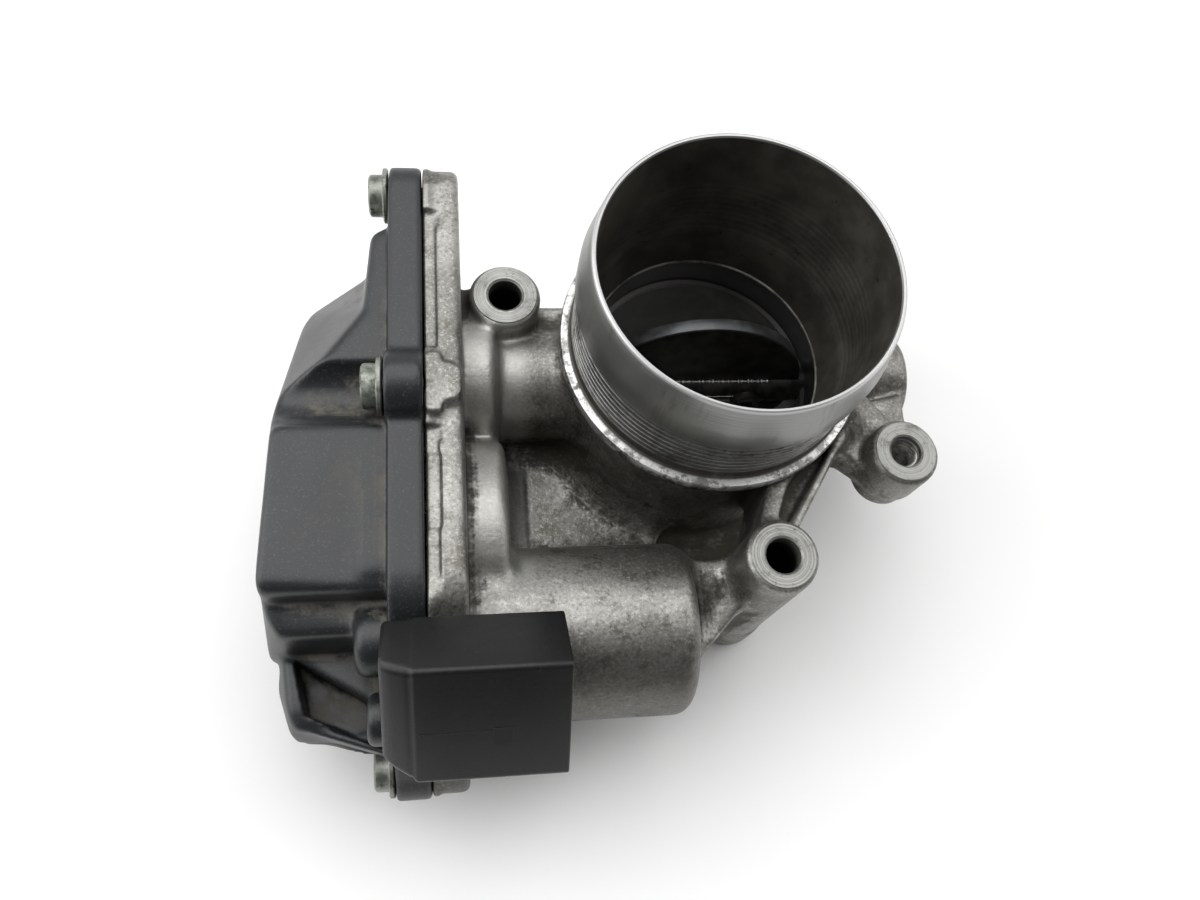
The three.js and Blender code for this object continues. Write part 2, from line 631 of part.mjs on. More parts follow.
// A flat blade along X inside the shroud, u being its place along the wide face.
function terminalBar(u, x0, x1, grow = 0) {
  const [v0, v1] = [SHROUD_THICK / 2 - 0.4 - grow, SHROUD_THICK / 2 + 0.4 + grow];
  const [u0, u1] = [u - 0.75 - grow, u + 0.75 + grow];
  return slabX([along(u0, v0), along(u1, v0), along(u1, v1), along(u0, v1)], x0, x1);
}

// Collared hexagon-socket screw with its head facing -X.
function coverScrew([y, z], seatX) {
  const head = turnedX([
    [0, seatX - 4.2], [3.9, seatX - 4.2], [4.5, seatX - 3.7], [4.5, seatX - 1.3], [5.8, seatX - 1.2],
    [5.8, seatX - GAP], [2.3, seatX - GAP], [2.0, seatX - GAP - 0.1],
    [2.0, CASE_BACK_X - 2.2], [0, CASE_BACK_X - 2.2],
  ], y, z, 16);
  return cut(head, rodX(seatX - 6, seatX - 2.4, y, z, 2.3, 6));
}

// ---------------------------------------------------------------- materials
const material = (color, roughness, metalness) =>
  new THREE.MeshStandardMaterial({ color, roughness, metalness });
const MATERIALS = {
  casting: material(0x9a9890, 0.55, 0.9),
  plastic: material(0x2b2d30, 0.55, 0),
  zinc: material(0x9ba39b, 0.4, 0.9),
  steel: material(0x8f9296, 0.35, 1),
  brass: material(0xb08d4f, 0.35, 1),
  rubber: material(0x1b1b1c, 0.8, 0),
  gear: material(0xd8d2c0, 0.6, 0),
  board: material(0x1f5a38, 0.6, 0),
  copper: material(0xa8643c, 0.4, 1),
  magnet: material(0x3a3a3c, 0.6, 0.3),
  carbon: material(0x222222, 0.7, 0.1),
};

// ---------------------------------------------------------------- assembly
const throttleBody = new THREE.Group();

function place(name, solid, finish) {
  const mesh = solid.getMesh();
  const geometry = new THREE.BufferGeometry();
  geometry.setAttribute("position", new THREE.BufferAttribute(new Float32Array(mesh.vertProperties), 3));
  geometry.setIndex(new THREE.BufferAttribute(new Uint32Array(mesh.triVerts), 1));
  geometry.computeVertexNormals();
  const part = new THREE.Mesh(geometry, MATERIALS[finish]);
  part.name = name;
  throttleBody.add(part);
}

place("housing", housing(), "casting");
place("gear_cover", gearCover(), "plastic");
place("cover_gasket", coverGasket(), "rubber");
COVER_SCREWS.forEach((at, i) => {
  const seat = COVER_BAND_X - (at === MID_SCREW ? 0.6 : 0);
  place(`cover_screw_${i + 1}`, coverScrew(at, seat), "zinc");
});

place("throttle_shaft", throttleShaft(), "steel");
place("throttle_plate", throttlePlate(), "brass");
place("plate_screw_1", plateScrew(-PLATE_SCREW_X), "steel");
place("plate_screw_2", plateScrew(PLATE_SCREW_X), "steel");
place("sector_gear", sectorGear(), "gear");
place("sensor_rotor", sensorRotor(), "copper");
place("bearing_gear_side", tubeX(-54, -37, 0, SHAFT_Z, BEARING_R, SHAFT_HOLE_R, 24), "steel");
place("bearing_far_side", tubeX(35, 44.5, 0, SHAFT_Z, BEARING_R, SHAFT_HOLE_R, 24), "steel");
place("shaft_seal_gear_side", tubeX(-36.4, -31.4, 0, SHAFT_Z, BEARING_R, SHAFT_HOLE_R, 24), "rubber");
place("shaft_seal_far_side", tubeX(31.8, 34.4, 0, SHAFT_Z, BEARING_R, SHAFT_HOLE_R, 24), "rubber");
place("end_plug", rodX(45.8, 48.6, 0, SHAFT_Z, 8.7, 28), "zinc");
place("return_spring", returnSpring(), "steel");

place("gear_pin", rodX(-78.2, -49.3, INTER_Y, SHAFT_Z, PIN_R, 14), "steel");
place("intermediate_gear", intermediateGear(), "gear");

place("motor_can", motorCan(), "steel");
place("motor_front_plate", motorFrontPlate(), "steel");
MOTOR_SCREWS.forEach(([y, z], i) => {
  const screw = join(rodX(-60.5, -58.9, y, z, 3, 14), rodX(-59, -51, y, z, 1.3, 10));
  place(`motor_screw_${i + 1}`, screw, "zinc");
});
place("motor_bearing_front", motorBearing(-59.5, -56.6), "brass");
place("motor_bearing_rear", motorBearing(-15.2, -12), "brass");
place("motor_magnet_upper", motorMagnet(1), "magnet");
place("motor_magnet_lower", motorMagnet(-1), "magnet");
place("motor_shaft", rodX(-74.6, -12.4, MOTOR_Y, SHAFT_Z, MOTOR_SHAFT_R, 12), "steel");
place("armature", armature(), "copper");
place("commutator", commutator(), "copper");
place("motor_pinion", motorPinion(), "brass");
place("brush_holder", brushHolder(), "plastic");
place("brush_1", brush(1), "carbon");
place("brush_2", brush(-1), "carbon");

place("sensor_board", block(-78.7, -77.3, -21, 5, 18, 39), "board");
place("sensor_chip", block(-77.0, -76.0, -5, 5, 24, 33), "plastic");
TERMINAL_PLACES.forEach((u, i) => {
  place(`terminal_${i + 1}`, terminalBar(u, -62, TERMINAL_TIP_X), "brass");
});
place("outlet_seal", turnedZ([[28.3, 0.1], [30.1, 0.1], [30.1, 1.7], [28.3, 1.7]], 40), "rubber");

throttleBody.position.set(22.2, 22.9, 0);
export default throttleBody;
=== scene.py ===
# Look of the throttle body: a rough cast housing, a machined inlet tube, a moulded cover with its
# plug shroud, screws, the plate and its shaft, on a pale floor in soft studio light.
# Shapes are drawn in millimetres about the bore axis (Z) at the outlet face, as the frame has them.
import json
import math
from functools import partial

import bmesh
import bpy
import numpy as np
import openvdb
from mathutils import Matrix, Vector


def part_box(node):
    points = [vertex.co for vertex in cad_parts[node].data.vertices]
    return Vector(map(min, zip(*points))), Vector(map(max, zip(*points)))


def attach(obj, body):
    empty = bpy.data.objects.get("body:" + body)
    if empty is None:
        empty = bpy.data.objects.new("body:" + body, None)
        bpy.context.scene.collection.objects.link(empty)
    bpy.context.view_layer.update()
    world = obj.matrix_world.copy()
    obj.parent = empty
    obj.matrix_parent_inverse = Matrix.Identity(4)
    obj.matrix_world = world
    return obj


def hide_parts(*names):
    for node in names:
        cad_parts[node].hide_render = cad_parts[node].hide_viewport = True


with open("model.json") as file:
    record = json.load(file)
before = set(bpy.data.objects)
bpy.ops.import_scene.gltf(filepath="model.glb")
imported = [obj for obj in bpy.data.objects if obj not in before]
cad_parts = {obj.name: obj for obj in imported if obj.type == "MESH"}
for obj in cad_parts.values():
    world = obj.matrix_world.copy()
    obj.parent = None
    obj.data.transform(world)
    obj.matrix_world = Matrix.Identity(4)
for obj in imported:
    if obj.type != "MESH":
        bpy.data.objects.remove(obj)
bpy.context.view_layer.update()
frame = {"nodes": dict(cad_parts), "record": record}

# ------------------------------------------------------------------ dimensions, mm
MM = 0.001
FAR = 60.0
SEAL_LO, SEAL_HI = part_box("outlet_seal")
BORE_AT = Vector(((SEAL_LO.x + SEAL_HI.x) / 2, (SEAL_LO.y + SEAL_HI.y) / 2, 0))

SHAFT_Z = 28.5
SHAFT_R = 4.2
SHAFT_AT = (0, 0, SHAFT_Z)
PLATE_R = 24.9
PLATE_THICK = 3.0
PLATE_OPEN = math.radians(85)
PLATE_SCREW_X = 12
JOINT_X = -61.0
CASE_BACK_X = -53.5
CASE_TOP = 57.0
COVER_IN_X = -61.3
COVER_BAND_X = -68.2
COVER_SLAB_X = -66.3
COVER_WALL = 2.2
MOTOR_Y = -57
INTER_Y = -30
MOTOR_R = 17.8
MOTOR_END_X = -8
MID_SCREW = (-13, 56)
MID_SEAT_RISE = 0.6
COVER_SCREWS = [(35.2, 50), MID_SCREW, (-81, 20), (-70, 9), (31, 14)]
HEAD_ROOM_R = 6.4
CASE_OUTLINE = [
    (33.6, 49.2, 7.8),
    (-49, 45, 12),
    (-57, SHAFT_Z, 20.7),
    (-81, 20, 6.2),
    (-70, 8.5, 6.3),
    (-49, 12.4, 12),
    (0, SHAFT_Z, 28.1),
    (31, 14, 6.5),
]
CASE_CAVITY = [(0, SHAFT_Z, 25.4), (-45, 42, 12), (-57, SHAFT_Z, 17.2), (-45, 15, 12)]
BOSSES = {
    "left": (-43.8, 13.9, 7.8, 45),
    "front": (8.65, -47.9, 7.6, 50),
    "rear": (34, 31, 7.6, 45),
}
BOLT_HOLE_R = 3.6
STUD = (38.6, -26.3, 7.5, 50)
STUD_BASE_Z = 34
GROOVE_Z, GROOVE_PITCH, GROOVE_DEPTH, GROOVES = 52.2, 1.75, 0.45, 7
TUBE_INNER_R, TUBE_RIM_Z = 29.45, 79.9
THREAD_R = 3.0
THREAD_WALL_R = 4.1
DEEP_START, DEEP_REACH = 1.2, 3
PLUG_X = 48.6
RIDGE = (-69.8, 67)
SHROUD_TILT = math.radians(48.4)
SHROUD_WIDE = 25.0
SHROUD_THICK = 15.7
SHROUD_WALL = 1.9
SHROUD_END_X = -36.5
SOCKET_FLOOR_X = -52.8
CAST_LOW, CAST_HIGH = (-62.5, -90, -1.5), (52, 45, 59)
VOXEL = 0.55


# ------------------------------------------------------------------ distance fields on a grid
class Field:
    """A signed distance, in mm, sampled on a box of voxels; negative is solid."""

    def __init__(self, low, high, step):
        self.low, self.step = np.array(low, float), step
        counts = [int((h - l) / step) + 1 for l, h in zip(low, high)]
        self.axes = [l + step * np.arange(n) for l, n in zip(low, counts)]
        self.d = np.full(counts, FAR, np.float32)

    def window(self, low, high, margin=6.0):
        """The slices of a box grown by a margin, and the coordinates inside it."""
        cuts = []
        for axis, lo, hi in zip(self.axes, low, high):
            first = int(np.searchsorted(axis, lo - margin))
            last = int(np.searchsorted(axis, hi + margin))
            cuts.append(slice(first, max(last, first)))
        x, y, z = (a[c].astype(np.float32) for a, c in zip(self.axes, cuts))
        return tuple(cuts), (x[:, None, None], y[None, :, None], z[None, None, :])

    def blend(self, shape, k, sign):
        low, high, distance = shape
        cuts, at = self.window(low, high)
        old = self.d[cuts]
        if not old.size:
            return
        new = distance(*at)
        h = np.maximum(k - np.abs(sign * old - new), 0) / k
        self.d[cuts] = sign * (np.minimum(sign * old, new) - h * h * k * 0.25)

    def add(self, shape, k=1.5):
        self.blend(shape, k, 1)

    def cut(self, shape, k=0.6):
        self.blend(shape, k, -1)

    def soften(self, reach):
        """Rounds every edge and corner alike, by averaging the field twice along each axis."""
        n = max(1, int(round(reach / self.step)))
        for axis in (0, 1, 2, 0, 1, 2):
            total = np.zeros_like(self.d)
            weight = 0.0
            for shift in range(-n, n + 1):
                share = 1.0 - abs(shift) / (n + 1)
                total += share * np.roll(self.d, shift, axis=axis)
                weight += share
            self.d = total / weight

    def crowding(self, reach):
        """How much of the neighbourhood of each voxel is solid, from 0 to 1."""
        solid = (self.d < 0).astype(np.float32)
        n = max(1, int(reach / self.step / 2))
        for axis in (0, 1, 2, 0, 1, 2):
            total = np.cumsum(solid, axis=axis)
            pad = [(0, 0)] * 3
            pad[axis] = (n + 1, n)
            total = np.pad(total, pad, mode="edge")
            size = solid.shape[axis]
            upper = np.take(total, range(2 * n + 1, size + 2 * n + 1), axis=axis)
            lower = np.take(total, range(0, size), axis=axis)
            solid = (upper - lower) / (2 * n + 1)
        return solid

    def surface(self):
        grid = openvdb.FloatGrid()
        grid.background = FAR
        grid.copyFromArray(np.ascontiguousarray(self.d))
        points, _, quads = grid.convertToPolygons(0.0, 0.0)
        return points, quads

    def sample(self, values, points):
        index = np.clip(np.round(points).astype(int), 0, np.array(values.shape) - 1)
        return values[index[:, 0], index[:, 1], index[:, 2]]


def joined_distance(outline, depth, rounding):
    """Joins the distance to an outline with the distance to a slab, with a rounded rim."""
    a, b = outline + rounding, depth + rounding
    outside = np.sqrt(np.maximum(a, 0) ** 2 + np.maximum(b, 0) ** 2)
    return np.minimum(np.maximum(a, b), 0) + outside - rounding


def slab_distance(t, low, high):
    return np.abs(t - (low + high) / 2) - (high - low) / 2


def prism(axis, low, high, across, flat, rounding):
    """A solid of one section along X or Z: its reach across the axis, and its distance there."""
    (u0, v0), (u1, v1) = across

    def distance(gx, gy, gz):
        u, v, deep = (gy, gz, gx) if axis == "X" else (gx, gy, gz)
        return joined_distance(flat(u, v, deep), slab_distance(deep, low, high), rounding)

    if axis == "X":
        return (low, u0, v0), (high, u1, v1), distance
    return (u0, v0, low), (u1, v1, high), distance


def rod(axis, low, high, u0, v0, r, rounding=0.4, taper=0.0):
    """A round bar; a taper widens it towards its low end."""
    def flat(u, v, deep):
        return np.sqrt((u - u0) ** 2 + (v - v0) ** 2) - (r + taper * (high - deep))

    grown = r + taper * (high - low)
    across = (u0 - grown, v0 - grown), (u0 + grown, v0 + grown)
    return prism(axis, low, high, across, flat, rounding)


def plate(axis, outline, low, high, rounding=0.6):
    """An outline of points across an axis, between two places along it."""
    def flat(u, v, deep):
        return polygon_distance(u, v, outline)

    us, vs = zip(*outline)
    across = (min(us), min(vs)), (max(us), max(vs))
    return prism(axis, low, high, across, flat, rounding)


rod_x, rod_z = partial(rod, "X"), partial(rod, "Z")
plate_x, plate_z = partial(plate, "X"), partial(plate, "Z")


def box(x0, x1, y0, y1, z0, z1, rounding=0.6):
    def distance(gx, gy, gz):
        a = slab_distance(gx, x0, x1) + rounding
        b = slab_distance(gy, y0, y1) + rounding
        c = slab_distance(gz, z0, z1) + rounding
        out = np.maximum(a, 0) ** 2 + np.maximum(b, 0) ** 2 + np.maximum(c, 0) ** 2
        return np.minimum(np.maximum(np.maximum(a, b), c), 0) + np.sqrt(out) - rounding

    return (x0, y0, z0), (x1, y1, z1), distance


def hull_of(points):
    """The convex hull of 2-D points, counterclockwise."""
    points = sorted(set((round(u, 5), round(v, 5)) for u, v in points))

    def half(ordered):
        chain = []
        for p in ordered:
            while len(chain) > 1:
                (ax, ay), (bx, by) = chain[-2], chain[-1]
                if (bx - ax) * (p[1] - ay) - (by - ay) * (p[0] - ax) > 1e-9:
                    break
                chain.pop()
            chain.append(p)
        return chain[:-1]

    return half(points) + half(points[::-1])


def around(circles, grow=0.0, steps=48):
    """The convex outline round circles (u, v, radius), each grown by an amount."""
    return hull_of(
        (u + (r + grow) * c, v + (r + grow) * s)
        for u, v, r in circles
        for c, s in circle(steps)
    )


def polygon_distance(gu, gv, outline):
    """Signed distance to a polygon, convex or not, given counterclockwise."""
    nearest, inside = None, None
    for (au, av), (bu, bv) in zip(outline, outline[1:] + outline[:1]):
        eu, ev = bu - au, bv - av
        length2 = eu * eu + ev * ev
        pu, pv = gu - au, gv - av
        t = np.clip((pu * eu + pv * ev) / length2, 0, 1)
        gap = (pu - eu * t) ** 2 + (pv - ev * t) ** 2
        nearest = gap if nearest is None else np.minimum(nearest, gap)
        rises = (av > gv) != (bv > gv)
        slope = ev if abs(ev) > 1e-9 else 1e-9
        crossed = rises & (gu < eu * (gv - av) / slope + au)
        inside = crossed if inside is None else inside ^ crossed
    return np.where(inside, -1.0, 1.0) * np.sqrt(nearest)


def ring_z(z0, z1, r0, r1):
    """A round groove or collar about the bore axis."""
    def flat(x, y, z):
        return slab_distance(np.sqrt(x * x + y * y), r0, r1)

    return prism("Z", z0, z1, ((-r1, -r1), (r1, r1)), flat, 0.2)


def wrap(points, rounding=1.2, shrink=0.0):
    """The convex solid round points, with softened edges, or shrunk inwards by a wall."""
    bm = bmesh.new()
    for p in points:
        bm.verts.new(p)
    bmesh.ops.convex_hull(bm, input=bm.verts)
    planes = []
    for face in bm.faces:
        n = face.normal
        d = n.dot(face.verts[0].co)
        if not any((n - m).length < 0.02 and abs(d - e) < 0.05 for m, e in planes):
            planes.append((n.copy(), d))
    bm.free()
    k = rounding

    def distance(gx, gy, gz):
        total = None
        for n, d in planes:
            one = gx * n.x + gy * n.y + gz * n.z - (d - shrink)
            if total is None:
                total = one + np.zeros_like(gx + gy + gz)
                continue
            h = np.maximum(k - np.abs(total - one), 0) / k
            total = np.maximum(total, one) + h * h * k * 0.25
        return total

    xs, ys, zs = zip(*points)
    return (min(xs), min(ys), min(zs)), (max(xs), max(ys), max(zs)), distance


# ------------------------------------------------------------------ objects from points
HOUSING = {"replaces": ["housing"], "slot": "casting"}
COVER = {"replaces": ["gear_cover"], "slot": "cover_plastic"}
SHAFT = {"body": "throttle", "replaces": ["throttle_shaft"], "slot": "steel"}


def placed(name, data):
    obj = bpy.data.objects.new(name, data)
    bpy.context.scene.collection.objects.link(obj)
    return obj


def new_object(name, mesh, material, body="body", replaces=(), slot="casting"):
    obj = placed(name, mesh)
    mesh.materials.append(material)
    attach(obj, body)
    if replaces:
        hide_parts(*replaces)
    return obj


def circle(count):
    """Cosines and sines of evenly spaced turns."""
    turns = [2 * math.pi * i / count for i in range(count)]
    return [(math.cos(t), math.sin(t)) for t in turns]


def loft(rings, count, start=0):
    """The quads between rings of points that follow each other, count points to a ring."""
    faces = []
    for first in range(start, start + rings * count, count):
        for i in range(count):
            a, b = first + i, first + (i + 1) % count
            faces.append((a, b, b + count, a + count))
    return faces


def to_metres(points):
    return np.asarray(points, float) * MM + np.array(BORE_AT)


def set_attribute(mesh, name, values):
    layer = mesh.attributes.new(name, "FLOAT", "POINT")
    layer.data.foreach_set("value", np.asarray(values, np.float32))


def field_object(name, field, crowd, material, **kwargs):
    """The surface of a field as a mesh, carrying how hemmed in each point is."""
    points, quads = field.surface()
    mesh = bpy.data.meshes.new(name)
    places = to_metres(points * field.step + field.low)
    mesh.vertices.add(len(places))
    mesh.vertices.foreach_set("co", places.astype(np.float32).ravel())
    mesh.loops.add(quads.size)
    mesh.loops.foreach_set("vertex_index", quads.astype(np.int32).ravel())
    mesh.polygons.add(len(quads))
    mesh.polygons.foreach_set("loop_start", np.arange(0, quads.size, 4, dtype=np.int32))
    mesh.update(calc_edges=True)
    mesh.polygons.foreach_set("use_smooth", [True] * len(quads))
    set_attribute(mesh, "crowd", field.sample(crowd, points))
    obj = new_object(name, mesh, material, **kwargs)
    relax = obj.modifiers.new("relax", "SMOOTH")
    relax.factor = 0.5
    relax.iterations = 3


def closed_object(name, points, faces, material, sharp=None, along=None, smooth=True, **kwargs):
    """A closed mesh that faces outwards, with edges kept sharp past an angle."""
    mesh = bpy.data.meshes.new(name)
    mesh.from_pydata(to_metres(points).tolist(), [], [tuple(map(int, f)) for f in faces])
    mesh.validate()
    mesh.polygons.foreach_set("use_smooth", [smooth] * len(mesh.polygons))
    if along:
        set_attribute(mesh, "along", along)
    bm = bmesh.new()
    bm.from_mesh(mesh)
    bmesh.ops.remove_doubles(bm, verts=bm.verts, dist=1e-7)
    bmesh.ops.recalc_face_normals(bm, faces=bm.faces)
    bm.to_mesh(mesh)
    bm.free()
    obj = new_object(name, mesh, material, **kwargs)
    if sharp:
        mesh.set_sharp_from_angle(angle=math.radians(sharp))
    return obj


def bevelled(obj, width):
    mod = obj.modifiers.new("edges", "BEVEL")
    mod.width = width * MM
    mod.segments = 1
    mod.limit_method = "ANGLE"
    mod.angle_limit = math.radians(30)


def turned(name, profile, material, axis="Z", at=(0, 0, 0), sides=128, sharp=28, **kwargs):
    """A closed profile of (radius, height) turned about an axis; it carries its own length."""
    count = len(profile)
    lengths = [0.0]
    for (r0, h0), (r1, h1) in zip(profile, profile[1:]):
        lengths.append(lengths[-1] + math.hypot(r1 - r0, h1 - h0))
    points, along, faces = [], [], []
    for c, s in circle(sides):
        for r, h in profile:
            place = (r * c, r * s, h) if axis == "Z" else (h, r * c, r * s)
            points.append([p + q for p, q in zip(place, at)])
        along += lengths
    for i in range(sides):
        for j in range(count):
            a, b = i * count + j, i * count + (j + 1) % count
            c, d = (i + 1) % sides * count + (j + 1) % count, (i + 1) % sides * count + j
            faces.append((a, b, c, d))
    return closed_object(name, points, faces, material, sharp, along, **kwargs)


# ------------------------------------------------------------------ node materials
class Nodes:
    """Short hand for building one material's node tree."""

    def __init__(self, name):
        self.material = bpy.data.materials.new(name)
        self.material.use_nodes = True
        self.tree = self.material.node_tree
        self.shader = self.tree.nodes["Principled BSDF"]
        self.where = self.node("ShaderNodeTexCoord", "Object")

    def node(self, kind, out, inputs=(), **settings):
        """Makes a node, feeds its inputs and gives back one of its outputs."""
        made = self.tree.nodes.new(kind)
        for key, value in settings.items():
            setattr(made, key, value)
        for key, value in dict(inputs).items():
            self.put(value, made.inputs[key])
        return made.outputs[out]

    def put(self, value, socket):
        if isinstance(value, bpy.types.NodeSocket):
            self.tree.links.new(value, socket)
        else:
            socket.default_value = (*value, 1.0) if socket.type == "RGBA" else value

    def attribute(self, name):
        return self.node("ShaderNodeAttribute", "Fac", attribute_name=name)

    def noise(self, scale, detail, rough, stretch=None):
        where = self.where
        if stretch:
            where = self.node("ShaderNodeMapping", "Vector", {"Scale": stretch, "Vector": where})
        fed = {"Scale": scale, "Detail": detail, "Roughness": rough, "Vector": where}
        return self.node("ShaderNodeTexNoise", "Fac", fed)

    def lines(self, source, scale):
        """Noise that varies only with one value, for turned or ground surfaces."""
        fed = {"Scale": 1.0, "Detail": 3.0, "W": self.times(source, scale)}
        return self.node("ShaderNodeTexNoise", "Fac", fed, noise_dimensions="1D")

    def math(self, operation, a, b=0.0, clamp=False):
        return self.node("ShaderNodeMath", 0, {0: a, 1: b}, operation=operation, use_clamp=clamp)

    def times(self, first, *others, clamp=False):
        for other in others:
            first = self.math("MULTIPLY", first, other, clamp)
        return first

    def minus(self, a, b, clamp=False):
        return self.math("SUBTRACT", a, b, clamp)

    def plus(self, a, b, clamp=False):
        return self.math("ADD", a, b, clamp)

    def ramp(self, value, low, high, to_low=0.0, to_high=1.0):
        fed = {"Value": value, "From Min": low, "From Max": high, "To Min": to_low, "To Max": to_high}
        return self.node("ShaderNodeMapRange", "Result", fed, interpolation_type="SMOOTHSTEP")

    def mix(self, factor, a, b):
        fed = {"Factor": factor, "A": a, "B": b}
        return self.node("ShaderNodeMix", "Result", fed, data_type="RGBA")

    def part_of(self, vector, letter):
        return self.node("ShaderNodeSeparateXYZ", letter, {"Vector": vector})

    def axis(self, letter):
        return self.part_of(self.where, letter)

    def facing_up(self):
        return self.part_of(self.node("ShaderNodeNewGeometry", "Normal"), "Z")

    def bump(self, *heights):
        """Fine relief of one or more (height, depth in mm) layers."""
        below = {}
        for height, depth in heights:
            fed = {"Strength": 1.0, "Distance": depth * MM, "Height": height, **below}
            below = {"Normal": self.node("ShaderNodeBump", "Normal", fed)}
        self.put(below["Normal"], self.shader.inputs["Normal"])

    def finish(self, color, rough, metal=0.0):
        for key, value in (("Base Color", color), ("Roughness", rough), ("Metallic", metal)):
            self.put(value, self.shader.inputs[key])
        return self.material


GRIME = (0.030, 0.026, 0.020)
DUST = (0.130, 0.121, 0.098)


def casting_material():
    """Sand-rough die-cast aluminium, mottled, with brown and black dirt and painted shade in its valleys
    and under the ring flange, painted shade on faces turned from the overhead lamp and on the motor
    housing's -Y side, and painted light near the gear case.
    """
    n = Nodes("cast_aluminium")
    x = n.minus(n.axis("X"), BORE_AT.x)
    y = n.minus(n.axis("Y"), BORE_AT.y)
    crowd = n.attribute("crowd")
    cloud = n.noise(42, 6, 0.62)
    mottle = n.noise(150, 9, 0.75)
    grain = n.noise(1500, 5, 0.7)
    clean = n.mix(n.ramp(cloud, 0.36, 0.64), (0.170, 0.167, 0.153), (0.300, 0.297, 0.278))
    clean = n.mix(n.ramp(mottle, 0.50, 0.64, 0.0, 0.75), clean, (0.095, 0.088, 0.070))
    clean = n.mix(n.ramp(mottle, 0.44, 0.32, 0.0, 0.8), clean, (0.44, 0.435, 0.41))
    clean = n.mix(n.ramp(grain, 0.52, 0.66, 0.0, 0.55), clean, (0.075, 0.070, 0.058))
    clean = n.mix(n.ramp(grain, 0.46, 0.36, 0.0, 0.40), clean, (0.55, 0.545, 0.52))
    # Lighter on the gear case between -42 and -53 mm along X: painted light.
    neck = n.times(n.ramp(x, -0.037, -0.042, 0.0, 0.55), n.ramp(x, -0.0545, -0.0530))
    neck = n.times(neck, n.ramp(y, -0.052, -0.044, 0.25, 1.0))
    clean = n.mix(neck, clean, (0.52, 0.515, 0.49))
    # Darker towards -Y: painted shade on the motor housing's front side.
    clean = n.mix(n.ramp(y, -0.058, -0.071, 0.0, 0.65), clean, (0.060, 0.058, 0.050))
    ragged = n.minus(n.noise(190, 12, 0.82), 0.5)
    drift = n.minus(n.noise(28, 3, 0.5), 0.5)
    # Dirt gathers where the surface is hemmed in; the same mask is also painted shade in hollows and under
    # the ring flange.
    hemmed = n.times(n.minus(crowd, 0.572), 3.0)
    tide = n.plus(n.times(ragged, 1.6), hemmed)
    tide = n.plus(tide, n.times(drift, 0.7))
    # Less dirt on the gear case side, past -34 mm along X: painted light as well.
    tide = n.minus(tide, n.ramp(x, -0.034, -0.040, 0.0, 0.20))
    # Painted shade on faces turned away from the overhead lamp.
    shaded = n.times(n.ramp(n.facing_up(), 0.75, -0.1), 0.20)
    grime_and_shade = n.times(n.ramp(n.plus(tide, shaded), -0.20, 0.24), 0.95)
    brown = n.mix(n.ramp(cloud, 0.38, 0.6), (0.017, 0.0145, 0.011), (0.052, 0.043, 0.028))
    brown = n.mix(n.ramp(grain, 0.54, 0.68, 0.0, 0.30), brown, (0.16, 0.15, 0.125))
    color = n.mix(grime_and_shade, clean, brown)
    rough = n.ramp(grime_and_shade, 0.0, 1.0, 0.42, 0.66)
    metal = n.ramp(grime_and_shade, 0.0, 0.8, 0.85, 0.25)
    n.bump((grain, 0.06), (n.noise(420, 4, 0.6), 0.10))
    return n.finish(color, rough, metal)


def boss_face_material():
    """Milled aluminium with fine tool lines along the cut, with painted shade down its holes."""
    n = Nodes("boss_face")
    lines = n.lines(n.attribute("along"), 3.2)
    stain = n.noise(160, 6, 0.7)
    color = n.mix(n.ramp(lines, 0.35, 0.65), (0.24, 0.238, 0.225), (0.36, 0.36, 0.345))
    flecks = n.times(n.ramp(n.noise(700, 8, 0.8), 0.56, 0.62), 0.7)
    dirty = n.math("MAXIMUM", n.times(n.ramp(stain, 0.54, 0.66), 0.6), flecks)
    color = n.mix(dirty, color, (0.10, 0.09, 0.07))
    # Painted shade, darker the deeper down the hole.
    color = n.mix(n.attribute("deep"), color, (0.022, 0.021, 0.019))
    n.bump((lines, 0.012), (n.noise(2500, 2, 0.5), 0.006))
    return n.finish(color, n.ramp(stain, 0.4, 0.75, 0.44, 0.44 + 0.25), 0.9)


